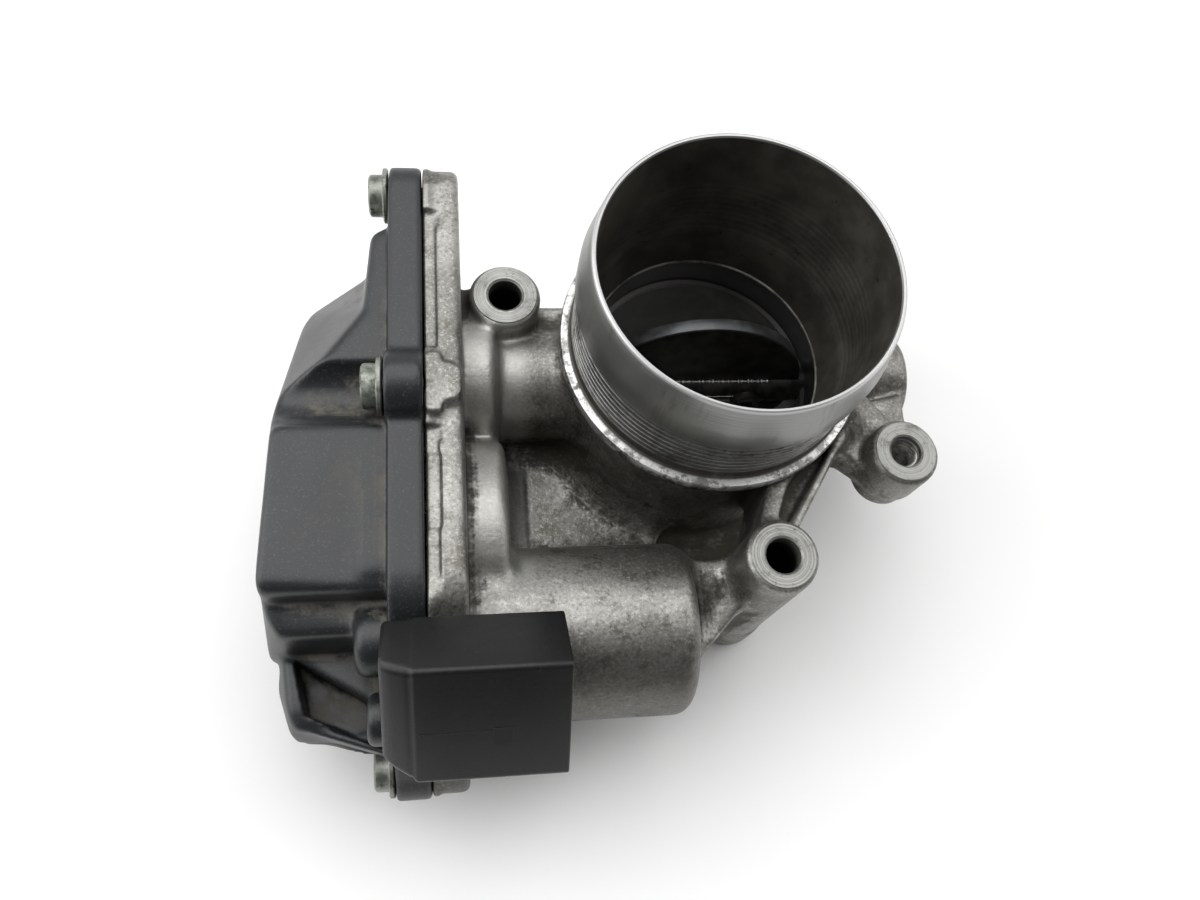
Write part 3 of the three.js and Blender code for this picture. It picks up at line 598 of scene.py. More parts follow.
def tube_material():
    """The inlet tube: machined outside and at the rim, dark with soot inside, with painted shade in its
    grooves and under its ring, and painted light on the bore's shelf towards -X.
    """
    n = Nodes("inlet_tube")
    z = n.math("DIVIDE", n.axis("Z"), MM)
    along = n.attribute("along")
    inner = n.attribute("inner")
    lines = n.lines(along, 4.5)
    fine = n.lines(along, 14.0)
    stain = n.noise(110, 8, 0.72)
    machined = n.mix(n.ramp(lines, 0.3, 0.7), (0.20, 0.20, 0.193), (0.33, 0.33, 0.32))
    machined = n.mix(n.ramp(n.noise(45, 4, 0.6), 0.35, 0.65), machined, (0.27, 0.27, 0.26))
    band = n.times(n.ramp(z, 65.5, 64.5), n.ramp(z, 50.0, 51.5))
    fresh = n.ramp(n.noise(30, 4, 0.6), 0.46, 0.58, 0.0, 0.5)
    machined = n.mix(n.times(band, fresh), machined, (0.50, 0.50, 0.48))
    axial = n.noise(260, 4, 0.7, stretch=(1.0, 1.0, 0.03))
    machined = n.mix(n.ramp(axial, 0.54, 0.70, 0.0, 0.45), machined, (0.12, 0.12, 0.113))
    # Painted shade in the machined grooves, patchy along them.
    turn = n.math("FRACT", n.math("DIVIDE", n.minus(z, GROOVE_Z), GROOVE_PITCH))
    cut = n.times(n.ramp(turn, 0.0, 0.06), n.ramp(turn, 0.5, 0.4))
    patchy = n.ramp(n.noise(70, 6, 0.65), 0.36, 0.6)
    groove_shade = n.times(cut, band, n.plus(0.6, n.times(patchy, 0.4)))
    dirt = n.times(band, n.ramp(stain, 0.47, 0.66), clamp=True)
    low = n.times(n.ramp(z, 53.5, 50.5), n.ramp(z, 49.1, 49.4))
    dirt = n.math("MAXIMUM", dirt, n.times(low, n.ramp(stain, 0.25, 0.45)))
    flange = n.times(n.ramp(z, 49.6, 49.2), n.ramp(n.noise(330, 7, 0.75), 0.52, 0.60))
    # Painted shadow under the ring flange.
    under = n.times(n.ramp(z, 46.9, 46.0), n.ramp(z, 44.5, 45.2))
    outside = n.mix(n.times(dirt, 0.8), machined, (0.045, 0.040, 0.032))
    outside = n.mix(n.times(groove_shade, 0.95), outside, (0.016, 0.014, 0.011))
    outside = n.mix(n.times(flange, 0.85), outside, (0.05, 0.045, 0.035))
    edge = n.times(n.ramp(z, 46.6, 47.2), n.ramp(z, 49.35, 49.0))
    edge = n.times(edge, n.ramp(n.noise(260, 7, 0.75), 0.56, 0.46))
    outside = n.mix(edge, outside, (0.70, 0.70, 0.68))
    outside = n.mix(under, outside, (0.02, 0.018, 0.014))
    soot = n.mix(n.ramp(n.noise(80, 6, 0.6), 0.4, 0.65), (0.045, 0.043, 0.037), (0.085, 0.081, 0.069))
    soot = n.mix(n.ramp(n.noise(240, 7, 0.75), 0.60, 0.68), soot, (0.016, 0.015, 0.012))
    throat = n.times(n.ramp(z, 40.0, 39.6), n.ramp(z, 29, 33))
    inside = n.mix(throat, soot, (0.020, 0.020, 0.0185))
    ring = n.times(n.ramp(z, 39.75, 39.95), n.ramp(z, 40.5, 40.3))
    ring = n.times(ring, n.ramp(n.noise(90, 5, 0.65), 0.35, 0.55))
    inside = n.mix(ring, inside, (0.30, 0.29, 0.26))
    # A lighter shelf in the bore on its -X side: painted light.
    shelf = n.times(n.ramp(z, 29.6, 30.4), n.ramp(z, 32.3, 31.9))
    shelf = n.times(shelf, n.ramp(n.axis("X"), BORE_AT.x + 0.012, BORE_AT.x - 0.02))
    inside = n.mix(n.times(shelf, 0.8), inside, (0.30, 0.29, 0.27))
    rim = n.ramp(z, 79.2, 79.7)
    bore = n.times(inner, n.minus(1.0, rim))
    color = n.mix(bore, n.mix(rim, outside, (0.50, 0.50, 0.495)), inside)
    rough = n.plus(n.ramp(bore, 0.0, 1.0, 0.38, 0.40), n.times(dirt, 0.25))
    n.bump((lines, 0.012), (fine, 0.005))
    metal = n.minus(n.ramp(bore, 0.0, 1.0, 0.92, 0.25), n.times(groove_shade, 0.6), clamp=True)
    return n.finish(color, rough, metal)


def plastic_material():
    """Glass-filled moulded plastic, blue-black and matte, with dust where it can settle."""
    n = Nodes("cover_plastic")
    crowd = n.attribute("crowd")
    grain = n.noise(2600, 2, 0.5)
    cloud = n.noise(45, 4, 0.6)
    base = n.mix(n.ramp(cloud, 0.3, 0.7), (0.0085, 0.0098, 0.0112), (0.0125, 0.0142, 0.0158))
    base = n.mix(n.ramp(grain, 0.56, 0.74), base, (0.040, 0.042, 0.044))
    speck = n.noise(900, 6, 0.8)
    base = n.mix(n.ramp(speck, 0.60, 0.70, 0.0, 0.5), base, (0.11, 0.108, 0.098))
    settled = n.ramp(n.facing_up(), 0.15, 0.8)
    valley = n.ramp(crowd, 0.50, 0.61)
    flecks = n.times(n.ramp(n.noise(520, 8, 0.78), 0.57, 0.66), 0.6)
    dust = n.times(valley, n.ramp(n.noise(190, 9, 0.75), 0.40, 0.60))
    dust = n.plus(dust, n.times(flecks, n.ramp(crowd, 0.45, 0.6)), clamp=True)
    dust = n.times(dust, n.times(settled, 0.75))
    color = n.mix(dust, base, DUST)
    rough = n.plus(n.ramp(cloud, 0.3, 0.7, 0.36, 0.44), n.times(dust, 0.4), clamp=True)
    n.bump((grain, 0.02), (n.noise(300, 3, 0.5), 0.02))
    n.shader.inputs["Specular IOR Level"].default_value = 0.54
    return n.finish(color, rough, 0.0)


def shroud_material():
    """The plug shroud's plastic: blacker and a little greenish, with fine scuffs."""
    n = Nodes("shroud_plastic")
    grain = n.noise(2400, 2, 0.5)
    scuff = n.noise(700, 3, 0.7, stretch=(1.0, 0.25, 0.25))
    cloud = n.ramp(n.noise(60, 4, 0.6), 0.3, 0.7)
    base = n.mix(cloud, (0.0035, 0.0041, 0.0038), (0.0060, 0.0067, 0.0062))
    color = n.mix(n.times(n.ramp(scuff, 0.68, 0.8), 0.4), base, (0.05, 0.05, 0.045))
    n.bump((grain, 0.018), (n.noise(260, 3, 0.5), 0.015))
    n.shader.inputs["Specular IOR Level"].default_value = 0.38
    return n.finish(color, n.ramp(grain, 0.3, 0.7, 0.33, 0.43), 0.0)


def simple_material(name, low, high, scale, rough, metal, depth=0.01, dirt=0.0):
    """A two-tone surface with fine bump, and dirt where noise gathers."""
    n = Nodes(name)
    color = n.mix(n.ramp(n.noise(scale, 5, 0.6), 0.35, 0.65), low, high)
    if dirt:
        stain = n.ramp(n.noise(scale * 1.7, 7, 0.72), 0.5, 0.68)
        color = n.mix(n.times(stain, dirt), color, GRIME)
    n.bump((n.noise(scale * 8, 3, 0.5), depth))
    roughness = n.ramp(n.noise(scale * 2, 3, 0.5), 0.3, 0.7, rough - 0.06, rough + 0.08)
    return n.finish(color, roughness, metal)


CASTING = casting_material()
TUBE = tube_material()
BOSS_FACE = boss_face_material()
PLASTIC = plastic_material()
SHROUD = shroud_material()
ZINC = simple_material("zinc_steel", (0.17, 0.18, 0.155), (0.34, 0.36, 0.32), 300, 0.42, 0.85, 0.02, 0.8)
STEEL = simple_material("turned_steel", (0.40, 0.40, 0.40), (0.60, 0.60, 0.60), 400, 0.3, 1.0)
SOOTY = simple_material("sooty_steel", (0.012, 0.012, 0.011), (0.045, 0.043, 0.038), 260, 0.34, 0.5, 0.02)
EDGE = simple_material("plate_edge", (0.075, 0.078, 0.08), (0.125, 0.128, 0.13), 200, 0.45, 0.8)
# Near-white strips on the shaft: a painted highlight.
SHAFT_HIGHLIGHT = simple_material("painted_shaft_highlight", (0.45, 0.45, 0.43), (1.0, 1.0, 0.97), 900, 0.5, 0.0, 0.03)
THREAD = simple_material("tapped_hole", (0.16, 0.16, 0.15), (0.62, 0.61, 0.58), 350, 0.4, 0.7, 0.02, 0.35)
RUBBER = simple_material("rubber", (0.010, 0.010, 0.010), (0.020, 0.020, 0.020), 500, 0.7, 0.0)
GEAR = simple_material("gear_plastic", (0.60, 0.57, 0.48), (0.72, 0.69, 0.60), 300, 0.5, 0.0)
BRASS = simple_material("brass", (0.48, 0.33, 0.13), (0.66, 0.49, 0.24), 300, 0.3, 1.0)
COPPER = simple_material("copper", (0.45, 0.20, 0.10), (0.68, 0.36, 0.22), 400, 0.35, 1.0)
BOARD = simple_material("board", (0.02, 0.11, 0.05), (0.03, 0.17, 0.08), 300, 0.45, 0.0)
FERRITE = simple_material("ferrite", (0.04, 0.04, 0.045), (0.08, 0.08, 0.085), 300, 0.6, 0.2)
BLACK = simple_material("black_plastic", (0.012, 0.012, 0.012), (0.024, 0.024, 0.024), 300, 0.45, 0.0)

# ------------------------------------------------------------------ camera
CAMERA_AT = Vector((-57.28, -97.66, 234.57))
CAMERA_RIGHT = Vector((0.988, -0.074, 0.135)).normalized()
CAMERA_BACK = Vector((-0.153, -0.363, 0.919)).normalized()
SENSOR_MM = 36
LENS_MM = 29.97


def make_camera():
    data = bpy.data.cameras.new("camera")
    data.sensor_width = SENSOR_MM
    data.lens = LENS_MM
    camera = placed("camera", data)
    up = CAMERA_BACK.cross(CAMERA_RIGHT).normalized()
    right = up.cross(CAMERA_BACK).normalized()
    camera.matrix_world = Matrix.Translation(CAMERA_AT * MM + BORE_AT) @ Matrix(
        [[right[i], up[i], CAMERA_BACK[i]] for i in range(3)]
    ).to_4x4()
    bpy.context.scene.camera = camera


make_camera()


# ------------------------------------------------------------------ the cast housing
def gear_case(f):
    """The flange that the cover sits on, with its lip, its pads and its rounded back."""
    f.add(plate_x(around(CASE_OUTLINE, -0.6), JOINT_X, CASE_BACK_X, 1.6), 0.5)
    f.add(plate_x(around(CASE_OUTLINE, -0.1), JOINT_X, JOINT_X + 1.5, 0.4), 0.4)
    f.add(rod_x(JOINT_X, JOINT_X + 3.4, *MID_SCREW, 6.7, 1.1), 0.8)
    f.add(rod_x(JOINT_X + 2, CASE_BACK_X - 0.4, *MID_SCREW, 4.4, 2.0), 1.2)
    steps = [(2.5, -4.5, 27, 1.75, 0.5), (2.5, -78, -21.5, 1.75, 0.5), (3.4, -24.5, -21.5, 1.2, 0.5)]
    steps += [(3.4, 23.5, 27.5, 1.2, 0.5), (2.9, -42, -27, 2.0, 0.4)]
    for reach, low, high, depth, k in steps:
        f.cut(box(JOINT_X - 2, JOINT_X + reach, low, high, CASE_TOP - depth, CASE_TOP + 4, 0.35), k)


def case_insides(f):
    f.cut(plate_x(around(CASE_CAVITY), JOINT_X - 2, -56.5, 0.5), 0.4)
    f.add(rod_x(JOINT_X, -56, *MID_SCREW, 4.6, 0.2), 0.3)
    f.cut(rod_x(-60, -49, 0, SHAFT_Z, 13.8), 0.4)
    f.add(rod_x(-55, -48, 0, SHAFT_Z, 8.9, 0.2), 0.4)
    bores = [(-60, -11.5, MOTOR_Y, 16.0, 0.4), (-57, -31, 0, 7.3, 0.4), (31.5, 47, 0, 7.3, 0.4)]
    bores += [(-34, 34, 0, SHAFT_R + 0.35, 0.3), (-60, -49, INTER_Y, 2.9, 0.3)]
    for low, high, y, r, k in bores:
        f.cut(rod_x(low, high, y, SHAFT_Z, r), k)
    for y, z in COVER_SCREWS:
        f.cut(rod_x(JOINT_X - 1, JOINT_X + 2.5, y, z, 2.4), 0.3)
    for y, z in ((-43.5, 42), (-43.5, 15)):
        f.cut(rod_x(-60, -49.5, y, z, 1.7), 0.3)


def make_housing():
    f = Field(CAST_LOW, CAST_HIGH, VOXEL)
    f.add(rod_z(-0.3, 46.5, 0, 0, 30.5, 0.3, 0.012), 0.5)
    for x, y, r, top in BOSSES.values():
        f.add(plate_z(around([(0, 0, 33.1), (x, y, r)]), 0, 9, 1.2), 3.0)
    f.add(rod_x(-50, -24, 0, SHAFT_Z, 12.3, 1.0), 5.0)
    f.add(rod_x(22, 49, 0, SHAFT_Z, 11, 2.2), 5.0)
    f.add(rod_x(-57, MOTOR_END_X, MOTOR_Y, SHAFT_Z, MOTOR_R, 4.0), 4.0)
    f.add(rod_x(-57, -45, -36, SHAFT_Z, 21, 2.6), 3.0)
    f.add(rod_x(-57, -46, 0, SHAFT_Z, 16.5, 2.2), 2.5)
    f.add(box(-56, -10, -44, -5, 2, 17, 1.0), 9.0)
    f.add(box(-56, -28, 0, 14, 2, 24, 1.0), 5.0)
    f.add(box(-56, -44, 9, 18.5, 4, 40, 1.2), 3.0)
    f.add(box(-44, -26, 10, 18, 4, 33, 1.2), 4.0)
    gear_case(f)
    for x, y, r, top in BOSSES.values():
        f.add(rod_z(0, top - 0.25, x, y, r - 0.05, 1.1, 0.012), 2.2)
    motor_end_web(f)
    front_web(f)
    stud_arm(f)
    case_insides(f)
    f.cut(rod_z(-3, 60, 0, 0, 28.0, 0.2), 0.3)
    for x, y, r, top in BOSSES.values():
        f.cut(rod_z(-3, top + 3, x, y, BOLT_HOLE_R + 0.9, 0.2), 0.3)
    x, y, r, top = STUD
    f.cut(rod_z(STUD_BASE_Z - 3, top + 3, x, y, THREAD_R + 1.0, 0.2), 0.3)
    f.cut(rod_x(44.8, 52, 0, SHAFT_Z, 9.0, 0.2), 0.4)
    f.d = np.maximum(f.d, -f.axes[2].astype(np.float32))
    f.cut(ring_z(-2, 2, 28.0, 30.4), 0.2)
    # The crowding counts the bore, the holes and the tube's ring as solid, so the dirt and shade mask also
    # paints shade under the ring flange.
    solid = Field(CAST_LOW, CAST_HIGH, VOXEL)
    solid.d = f.d.copy()
    solid.add(rod_z(45, 60, 0, 0, 33.5), 0.5)
    solid.add(rod_z(-3, 60, 0, 0, 29.0), 0.5)
    for x, y, r, top in BOSSES.values():
        solid.add(rod_z(-3, top - 0.5, x, y, r - 1), 0.5)
    solid.add(plate_x(around(CASE_OUTLINE, -1), JOINT_X - 1, CASE_BACK_X - 1), 0.5)
    solid.add(rod_x(-57, MOTOR_END_X - 1, MOTOR_Y, SHAFT_Z, MOTOR_R - 0.5), 0.5)
    field_object("housing_casting", f, solid.crowding(9.0), CASTING, **HOUSING)


def motor_end_web(f):
    """Web between the closed end of the motor housing and the front bolt column."""
    f.add(plate_z([(-16, -44), (-10, -66), (-4, -62), (4, -54), (4, -44)], 12, 36, 1.2), 4.0)


def front_web(f):
    """Slotted web from the tube's ring to the front bolt boss."""
    outer = [(4, -46), (12.5, -44), (30.5, -17), (29, -13), (10, -28)]
    slot = [(10.5, -38.5), (12.6, -39.6), (25.6, -21.2), (24, -20), (13.5, -31.5)]
    f.add(plate_z(outer, 26, 45.6, 1.0), 2.5)
    f.cut(plate_z(slot, 41.5, 60, 0.4), 1.0)


def stud_arm(f):
    """The tapped boss, its stepped foot and the two-ribbed arm that carries it."""
    x, y, r, top = STUD
    f.add(plate_z([(24, -22), (35, -31), (44, -22), (31, -5), (25, -8)], 36, 44, 1.2), 3.0)
    f.add(plate_z([(39, -26), (45, -26), (46, -8), (35, -10)], 32, 39, 1.0), 2.5)
    f.add(rod_z(STUD_BASE_Z + 4.4, top - 0.25, x, y, r - 0.05, 1.1), 1.5)
    f.add(rod_z(STUD_BASE_Z, STUD_BASE_Z + 6, x, y, r - 0.8, 1.0), 0.4)


make_housing()


# ------------------------------------------------------------------ machined pieces
def tube_profile():
    """Half section of the inlet tube, from the ring's underside round the rim and down the bore."""
    outer = [(29.0, 45.6), (32.6, 45.7), (33.05, 46.3), (33.1, 48.3), (32.8, 48.9), (31.6, 49.1)]
    outer += [(30.9, 49.6), (30.75, 50.8), (30.85, 52.0)]
    r, deep = 30.95, 30.95 - GROOVE_DEPTH
    for i in range(GROOVES):
        z = GROOVE_Z + i * GROOVE_PITCH
        outer += [(r, z), (deep, z + 0.15), (deep, z + 0.65), (r, z + 0.8)]
    outer += [(r, 64.6), (31.2, 65.2), (31.7, 65.9), (31.8, 66.3), (31.8, 71.6), (31.65, 72.6)]
    outer += [(30.45, 79.3), (30.2, 79.85), (29.9, 80.0), (29.5, 79.95), (29.3, 79.6)]
    inner = [(29.15, 72), (28.9, 60), (28.8, 54), (27.4, 47), (26.05, 40.35), (25.75, 40.1), (25.75, 39.7)]
    inner += [(26.0, 39.4), (26.0, 35), (26.0, 31.8), (25.2, 31.2), (25.2, 20), (25.2, 0.6)]
    inner += [(25.5, 0.0), (28.4, 0.0)]
    return outer, inner


def split_long(profile, longest):
    """Adds points so that no stretch of a profile is longer than a length."""
    made = [profile[0]]
    for (r0, h0), (r1, h1) in zip(profile, profile[1:]):
        count = max(1, int(math.hypot(r1 - r0, h1 - h0) / longest))
        made += [(r0 + (r1 - r0) * i / count, h0 + (h1 - h0) * i / count) for i in range(1, count + 1)]
    return made


def make_tube():
    outer, inner = tube_profile()
    profile = split_long(outer, 2.0) + split_long(inner, 2.0)
    mesh = turned("inlet_tube", profile, TUBE, sides=192, **HOUSING).data
    points = np.empty(len(mesh.vertices) * 3)
    mesh.vertices.foreach_get("co", points)
    points = (points.reshape(-1, 3) - np.array(BORE_AT)) / MM
    radius = np.hypot(points[:, 0], points[:, 1])
    set_attribute(mesh, "inner", (radius < TUBE_INNER_R).astype(float) * (points[:, 2] < TUBE_RIM_Z))


make_tube()


def mark_depth(obj, top):
    """Stores how far down a hole each point lies, for the painted shade down the hole."""
    heights = np.array([v.co.z / MM for v in obj.data.vertices])
    set_attribute(obj.data, "deep", np.clip((top - DEEP_START - heights) / DEEP_REACH, 0, 1))


def make_boss_face(name, x, y, r, top, bottom):
    """Machined face and drilled wall of a bolt boss."""
    rim = r - 0.85
    profile = [(BOLT_HOLE_R + 0.95, bottom), (BOLT_HOLE_R + 0.95, top - 0.6), (rim - 0.15, top - 0.6)]
    profile += [(rim, top - 0.15), (rim - 0.15, top), (BOLT_HOLE_R + 0.5, top)]
    profile += [(BOLT_HOLE_R + 0.05, top - 0.35), (BOLT_HOLE_R, top - 1.0), (BOLT_HOLE_R, bottom)]
    profile = split_long(profile, 1.5)
    face = turned(name, profile, BOSS_FACE, at=(x, y, 0), sides=64, **HOUSING)
    mark_depth(face, top)


for key, (bx, by, br, btop) in BOSSES.items():
    make_boss_face(f"bolt_face_{key}", bx, by, br, btop, 0.3)


def make_stud_face():
    """Machined face of the tapped boss with its counterbore."""
    x, y, r, top = STUD
    profile = [(THREAD_R + 1.05, top - 3), (THREAD_R + 1.05, top - 0.6), (r - 1.0, top - 0.6)]
    profile += [(r - 0.85, top - 0.15), (r - 1.0, top), (3.75, top), (3.4, top - 0.3)]
    profile += [(3.33, top - 1.3), (THREAD_R + 0.1, top - 1.5), (THREAD_R + 0.1, top - 3)]
    face = turned("stud_face", profile, BOSS_FACE, at=(x, y, 0), sides=64, **HOUSING)
    mark_depth(face, top)


make_stud_face()


def make_thread():
    """The tapped wall as one long helical ridge on a tube."""
    x, y, _, top = STUD
    pitch, sides, per_turn = 1.0, 40, 6
    turns = int((top - 1.6 - STUD_BASE_Z) / pitch)
    rows, base = turns * per_turn, STUD_BASE_Z + 0.2
    points = []
    for j in range(rows + 1):
        z = base + j * pitch / per_turn
        for i, (c, s) in enumerate(circle(sides)):
            phase = (j / per_turn + i / sides) % 1.0
            r = THREAD_R - 0.5 + abs(phase - 0.5) * 1.2
            points.append((x + r * c, y + r * s, z))
    outer_start = len(points)
    for z in (base, base + rows * pitch / per_turn):
        points += [(x + THREAD_WALL_R * c, y + THREAD_WALL_R * s, z) for c, s in circle(sides)]
    faces = loft(rows, sides)
    last = rows * sides
    for i in range(sides):
        k = (i + 1) % sides
        faces.append((i, outer_start + i, outer_start + k, k))
        faces.append((last + i, last + k, outer_start + sides + k, outer_start + sides + i))
        faces.append((outer_start + i, outer_start + sides + i, outer_start + sides + k, outer_start + k))
    closed_object("tapped_thread", points, faces, THREAD, **HOUSING)


make_thread()


def make_end_plug():
    """Pressed cap that closes the far shaft bore, dished in its middle."""
    x = PLUG_X
    profile = [(0, 45.8), (8.6, 45.8), (8.75, 46.2), (8.75, x - 0.4), (8.4, x), (6.6, x)]
    profile += [(6.0, x - 0.5), (5.4, x - 0.9), (0, x - 0.9)]
    turned(
        "shaft_end_plug", split_long(profile, 1.2), ZINC, axis="X", at=SHAFT_AT,
        sides=72, replaces=["end_plug"], slot="screw_zinc",
    )


make_end_plug()


# ------------------------------------------------------------------ the moulded cover
def dome_pieces():
    """Corner points of the four convex lumps that make up the cover's dome."""
    back = COVER_SLAB_X + 0.3
    shallow = [
        (back, 26, 54.5), (-71.6, 23, 54.5), (-73.2, 4, 54.5), (-73.2, -50, 54.5), (back, -50, 54.5),
        (back, 30, SHAFT_Z), (-74.8, 27.5, SHAFT_Z), (back, 24, 5), (-73.2, 22, 5),
        (-73.2, 0, 2.4), (back, 0, 2.4), (-73.2, -50, 2.4), (back, -50, 2.4),
    ]
    deep = [
        (back, 4, 54.5), (-73.2, 4, 54.5), (-90, -19.5, 54.5), (-91.4, -50.5, 54.5), (-91, -52.6, 53),
        (back, -52.6, 53), (back, 26, SHAFT_Z), (-75, 27.8, SHAFT_Z), (-86.9, 18.4, SHAFT_Z),
        (-88.4, 15.7, SHAFT_Z), (-93, -6, SHAFT_Z), (-93, -48, SHAFT_Z), (back, -54, SHAFT_Z),
        (-91.5, -54, SHAFT_Z), (back, 4, 3), (-90, -19.5, 4), (-90, -50, 4), (back, -52, 3),
    ]
    shelf = [
        (back, -48, 47.5), (-92, -48, 47.5), (-90.5, -54.5, 47.2), (-88, -59, 46), (back, -59, 46),
        (-87.6, -60.6, 34), (back, -60.6, 34), (-93.4, -48, SHAFT_Z), (-92.4, -60.4, SHAFT_Z),
        (back, -60.6, 24), (-90, -48, 8), (-88, -60, 8), (back, -60, 8), (back, -48, 8),
    ]
    tail = [
        (back, -56, 35.2), (-89.4, -56, 35.2), (-87.6, -71, 35.2), (-86.4, -74, 34), (-76, -73.6, 34),
        (back, -68, 35.2), (-91, -65, SHAFT_Z - 1), (-88, -75, 27), (-87.4, -75.8, 22),
        (-76.5, -76.2, 22), (back, -72, 24), (-87, -74, 9), (-76, -74, 9), (back, -70, 9), (back, -56, 9),
    ]
    return shallow, deep, shelf, tail


def shroud_point(u, v):
    """A point of the shroud's section: u down the wide face, v down the narrow face."""
    c, s = math.cos(SHROUD_TILT), math.sin(SHROUD_TILT)
    return RIDGE[0] - u * c + v * s, RIDGE[1] - u * s - v * c


POCKET = [(-86.9, -61.0), (-84.4, -71.4), (-70.2, -78.2), (-71.5, -70.2)]
POCKET_WALLED = [(-89, -58.2), (-86, -75), (-66, -80), (-69.8, -69)]
RIB_TWO = [(-86.2, -72), (-86, -73.8), (-67.8, -80.2), (-67.8, -78.6)]
RIB_FLOOR = [(-84.4, -71.4), (-70.2, -79), (-66.5, -79), (-66.5, -70), (-80, -68)]
VALLEY = [(-97, -19.8), (-66, -19.8), (-66, -12.5), (-76, -11), (-97, -9)]
COVER_LOW, COVER_HIGH = (-95.5, -89.5, -1.5), (-59.5, 44, 65)


def seat_of(y, z):
    """Where the collar of a cover screw sits; the middle screw's seat stands proud."""
    return COVER_BAND_X - (MID_SEAT_RISE if (y, z) == MID_SCREW else 0)


def cover_outside():
    """The dome's lumps with softened edges, then the crisper band, ribs and pocket."""
    f = Field(COVER_LOW, COVER_HIGH, VOXEL)
    for points in dome_pieces():
        f.add(wrap(points, 0.1), 0.3)
    f.cut(plate_z(VALLEY, 52.5, 64, 0.3), 0.5)
    f.soften(1.3)
    f.add(plate_z(RIB_FLOOR, 14, 26.4, 0.5), 0.8)
    f.add(plate_z(RIB_TWO, 14, 33.5, 0.5), 0.8)
    f.cut(plate_z(POCKET, 26.6, 62, 0.6), 0.5)
    f.add(rod_x(-74.5, COVER_IN_X - 2, -60, 44, 6.6, 2.4), 1.6)
    f.add(rod_x(-72.6, COVER_IN_X - 2, -73.5, 38, 5.0, 1.6), 1.0)
    f.add(plate_x(around(CASE_OUTLINE), COVER_BAND_X, COVER_IN_X, 0.8), 0.5)
    f.add(rod_x(COVER_BAND_X - MID_SEAT_RISE, COVER_IN_X, *MID_SCREW, 7.0, 0.9), 1.4)
    f.add(rod_x(COVER_BAND_X - 0.3, COVER_IN_X, -81, 20, 6.2, 0.6), 1.0)
    for y, z in COVER_SCREWS:
        f.cut(rod_x(-98, seat_of(y, z), y, z, HEAD_ROOM_R, 0.4), 0.8)
    return f


def cover_hollow():
    """The room inside the cover, kept clear of the screws, the pocket and the valley."""
    f = Field(COVER_LOW, COVER_HIGH, VOXEL)
    f.add(plate_x(around(CASE_CAVITY), COVER_SLAB_X, COVER_IN_X + 2, 0.4), 0.3)
    for points in dome_pieces():
        f.add(wrap(points, 0.8, COVER_WALL), 0.5)
    f.add(rod_x(-75.2, -65, MOTOR_Y, SHAFT_Z, 6.1), 0.3)
    f.cut(rod_x(-75, COVER_IN_X + 4, *MID_SCREW, 4.8), 0.3)
    for y, z in COVER_SCREWS:
        f.cut(rod_x(-98, COVER_SLAB_X, y, z, HEAD_ROOM_R + 1.8), 0.3)
    f.cut(plate_z(POCKET_WALLED, 24.8, 62), 0.4)
    f.cut(box(-97, COVER_SLAB_X, -21.5, -9.5, 49.6, 60), 0.4)
    return f


def make_cover():
    f = cover_outside()
    crowd = f.crowding(8.0)
    f.d = np.maximum(f.d, -cover_hollow().d)
    f.add(rod_x(-92, -75, INTER_Y, SHAFT_Z, 5.2), 0.3)
    f.cut(rod_x(-78.5, -70, INTER_Y, SHAFT_Z, 2.9), 0.3)
    for y, z in COVER_SCREWS:
        f.cut(rod_x(-75, -58, y, z, 2.5), 0.3)
    groove = Field(COVER_LOW, COVER_HIGH, VOXEL)
    groove.add(plate_x(around(CASE_CAVITY, 1.85), COVER_IN_X - 1.6, COVER_IN_X + 3, 0.2), 0.2)
    groove.cut(plate_x(around(CASE_CAVITY, 0.35), COVER_IN_X - 9, COVER_IN_X + 9, 0.2), 0.2)
    f.d = np.maximum(f.d, -groove.d)
    field_object("cover_shell", f, crowd, PLASTIC, **COVER)


make_cover()


def make_shroud():
    """Plug shroud: a tilted box with rounded edges, open towards +X, closed by a bevel at -X."""
    def section(x, near, far, radius):
        """One ring: near is the inset of the wide face and its end, far that of the other two sides."""
        low_u, high_u = far, SHROUD_WIDE - near
        low_v, high_v = near, SHROUD_THICK - far
        loop, steps = [], 6
        corners = [(low_u, low_v, 1, 1), (high_u, low_v, -1, 1)]
        corners += [(high_u, high_v, -1, -1), (low_u, high_v, 1, -1)]
        for (u, v, su, sv), start in zip(corners, (180, 270, 0, 90)):
            for i in range(steps + 1):
                t = math.radians(start + 90 * i / steps)
                at = (u + su * radius + radius * math.cos(t), v + sv * radius + radius * math.sin(t))
                loop.append((x, *shroud_point(*at)))
        return loop

    lip, wall = SHROUD_END_X, SHROUD_WALL
    rings = (
        (-69.1, 3.6, 1.0, 1.7), (-68.9, 3.15, 0.45, 1.8), (-68.4, 2.6, 0.12, 1.9),
        (-67.0, 1.75, 0.1, 1.9), (-65.2, 0.95, 0.1, 1.8), (-64.4, 0.62, 0.1, 1.7),
        (-63.9, 0.55, 0.1, 1.6), (-63.5, 0.2, 0.04, 1.3), (-63.0, 0.02, 0, 1.15),
        (-56, 0, 0, 1.1), (-46, 0, 0, 1.1), (lip - 0.35, 0, 0, 1.1),
        (lip - 0.08, 0.1, 0.1, 1.05), (lip, 0.3, 0.3, 1.0),
        (lip, wall - 0.3, wall - 0.3, 0.8), (lip - 0.1, wall - 0.1, wall - 0.1, 0.75),
        (lip - 0.4, wall, wall, 0.7), (-46, wall, wall, 0.7),
        (SOCKET_FLOOR_X, wall + 0.1, wall + 0.1, 0.6),
    )
    rings = [section(*ring) for ring in rings]
    count = len(rings[0])
    points = [p for ring in rings for p in ring]
    faces = loft(len(rings) - 1, count)
    faces.append(tuple(range(count))[::-1])
    faces.append(tuple(range((len(rings) - 1) * count, len(rings) * count)))
    closed_object("plug_shroud", points, faces, SHROUD, sharp=50, **COVER)


make_shroud()


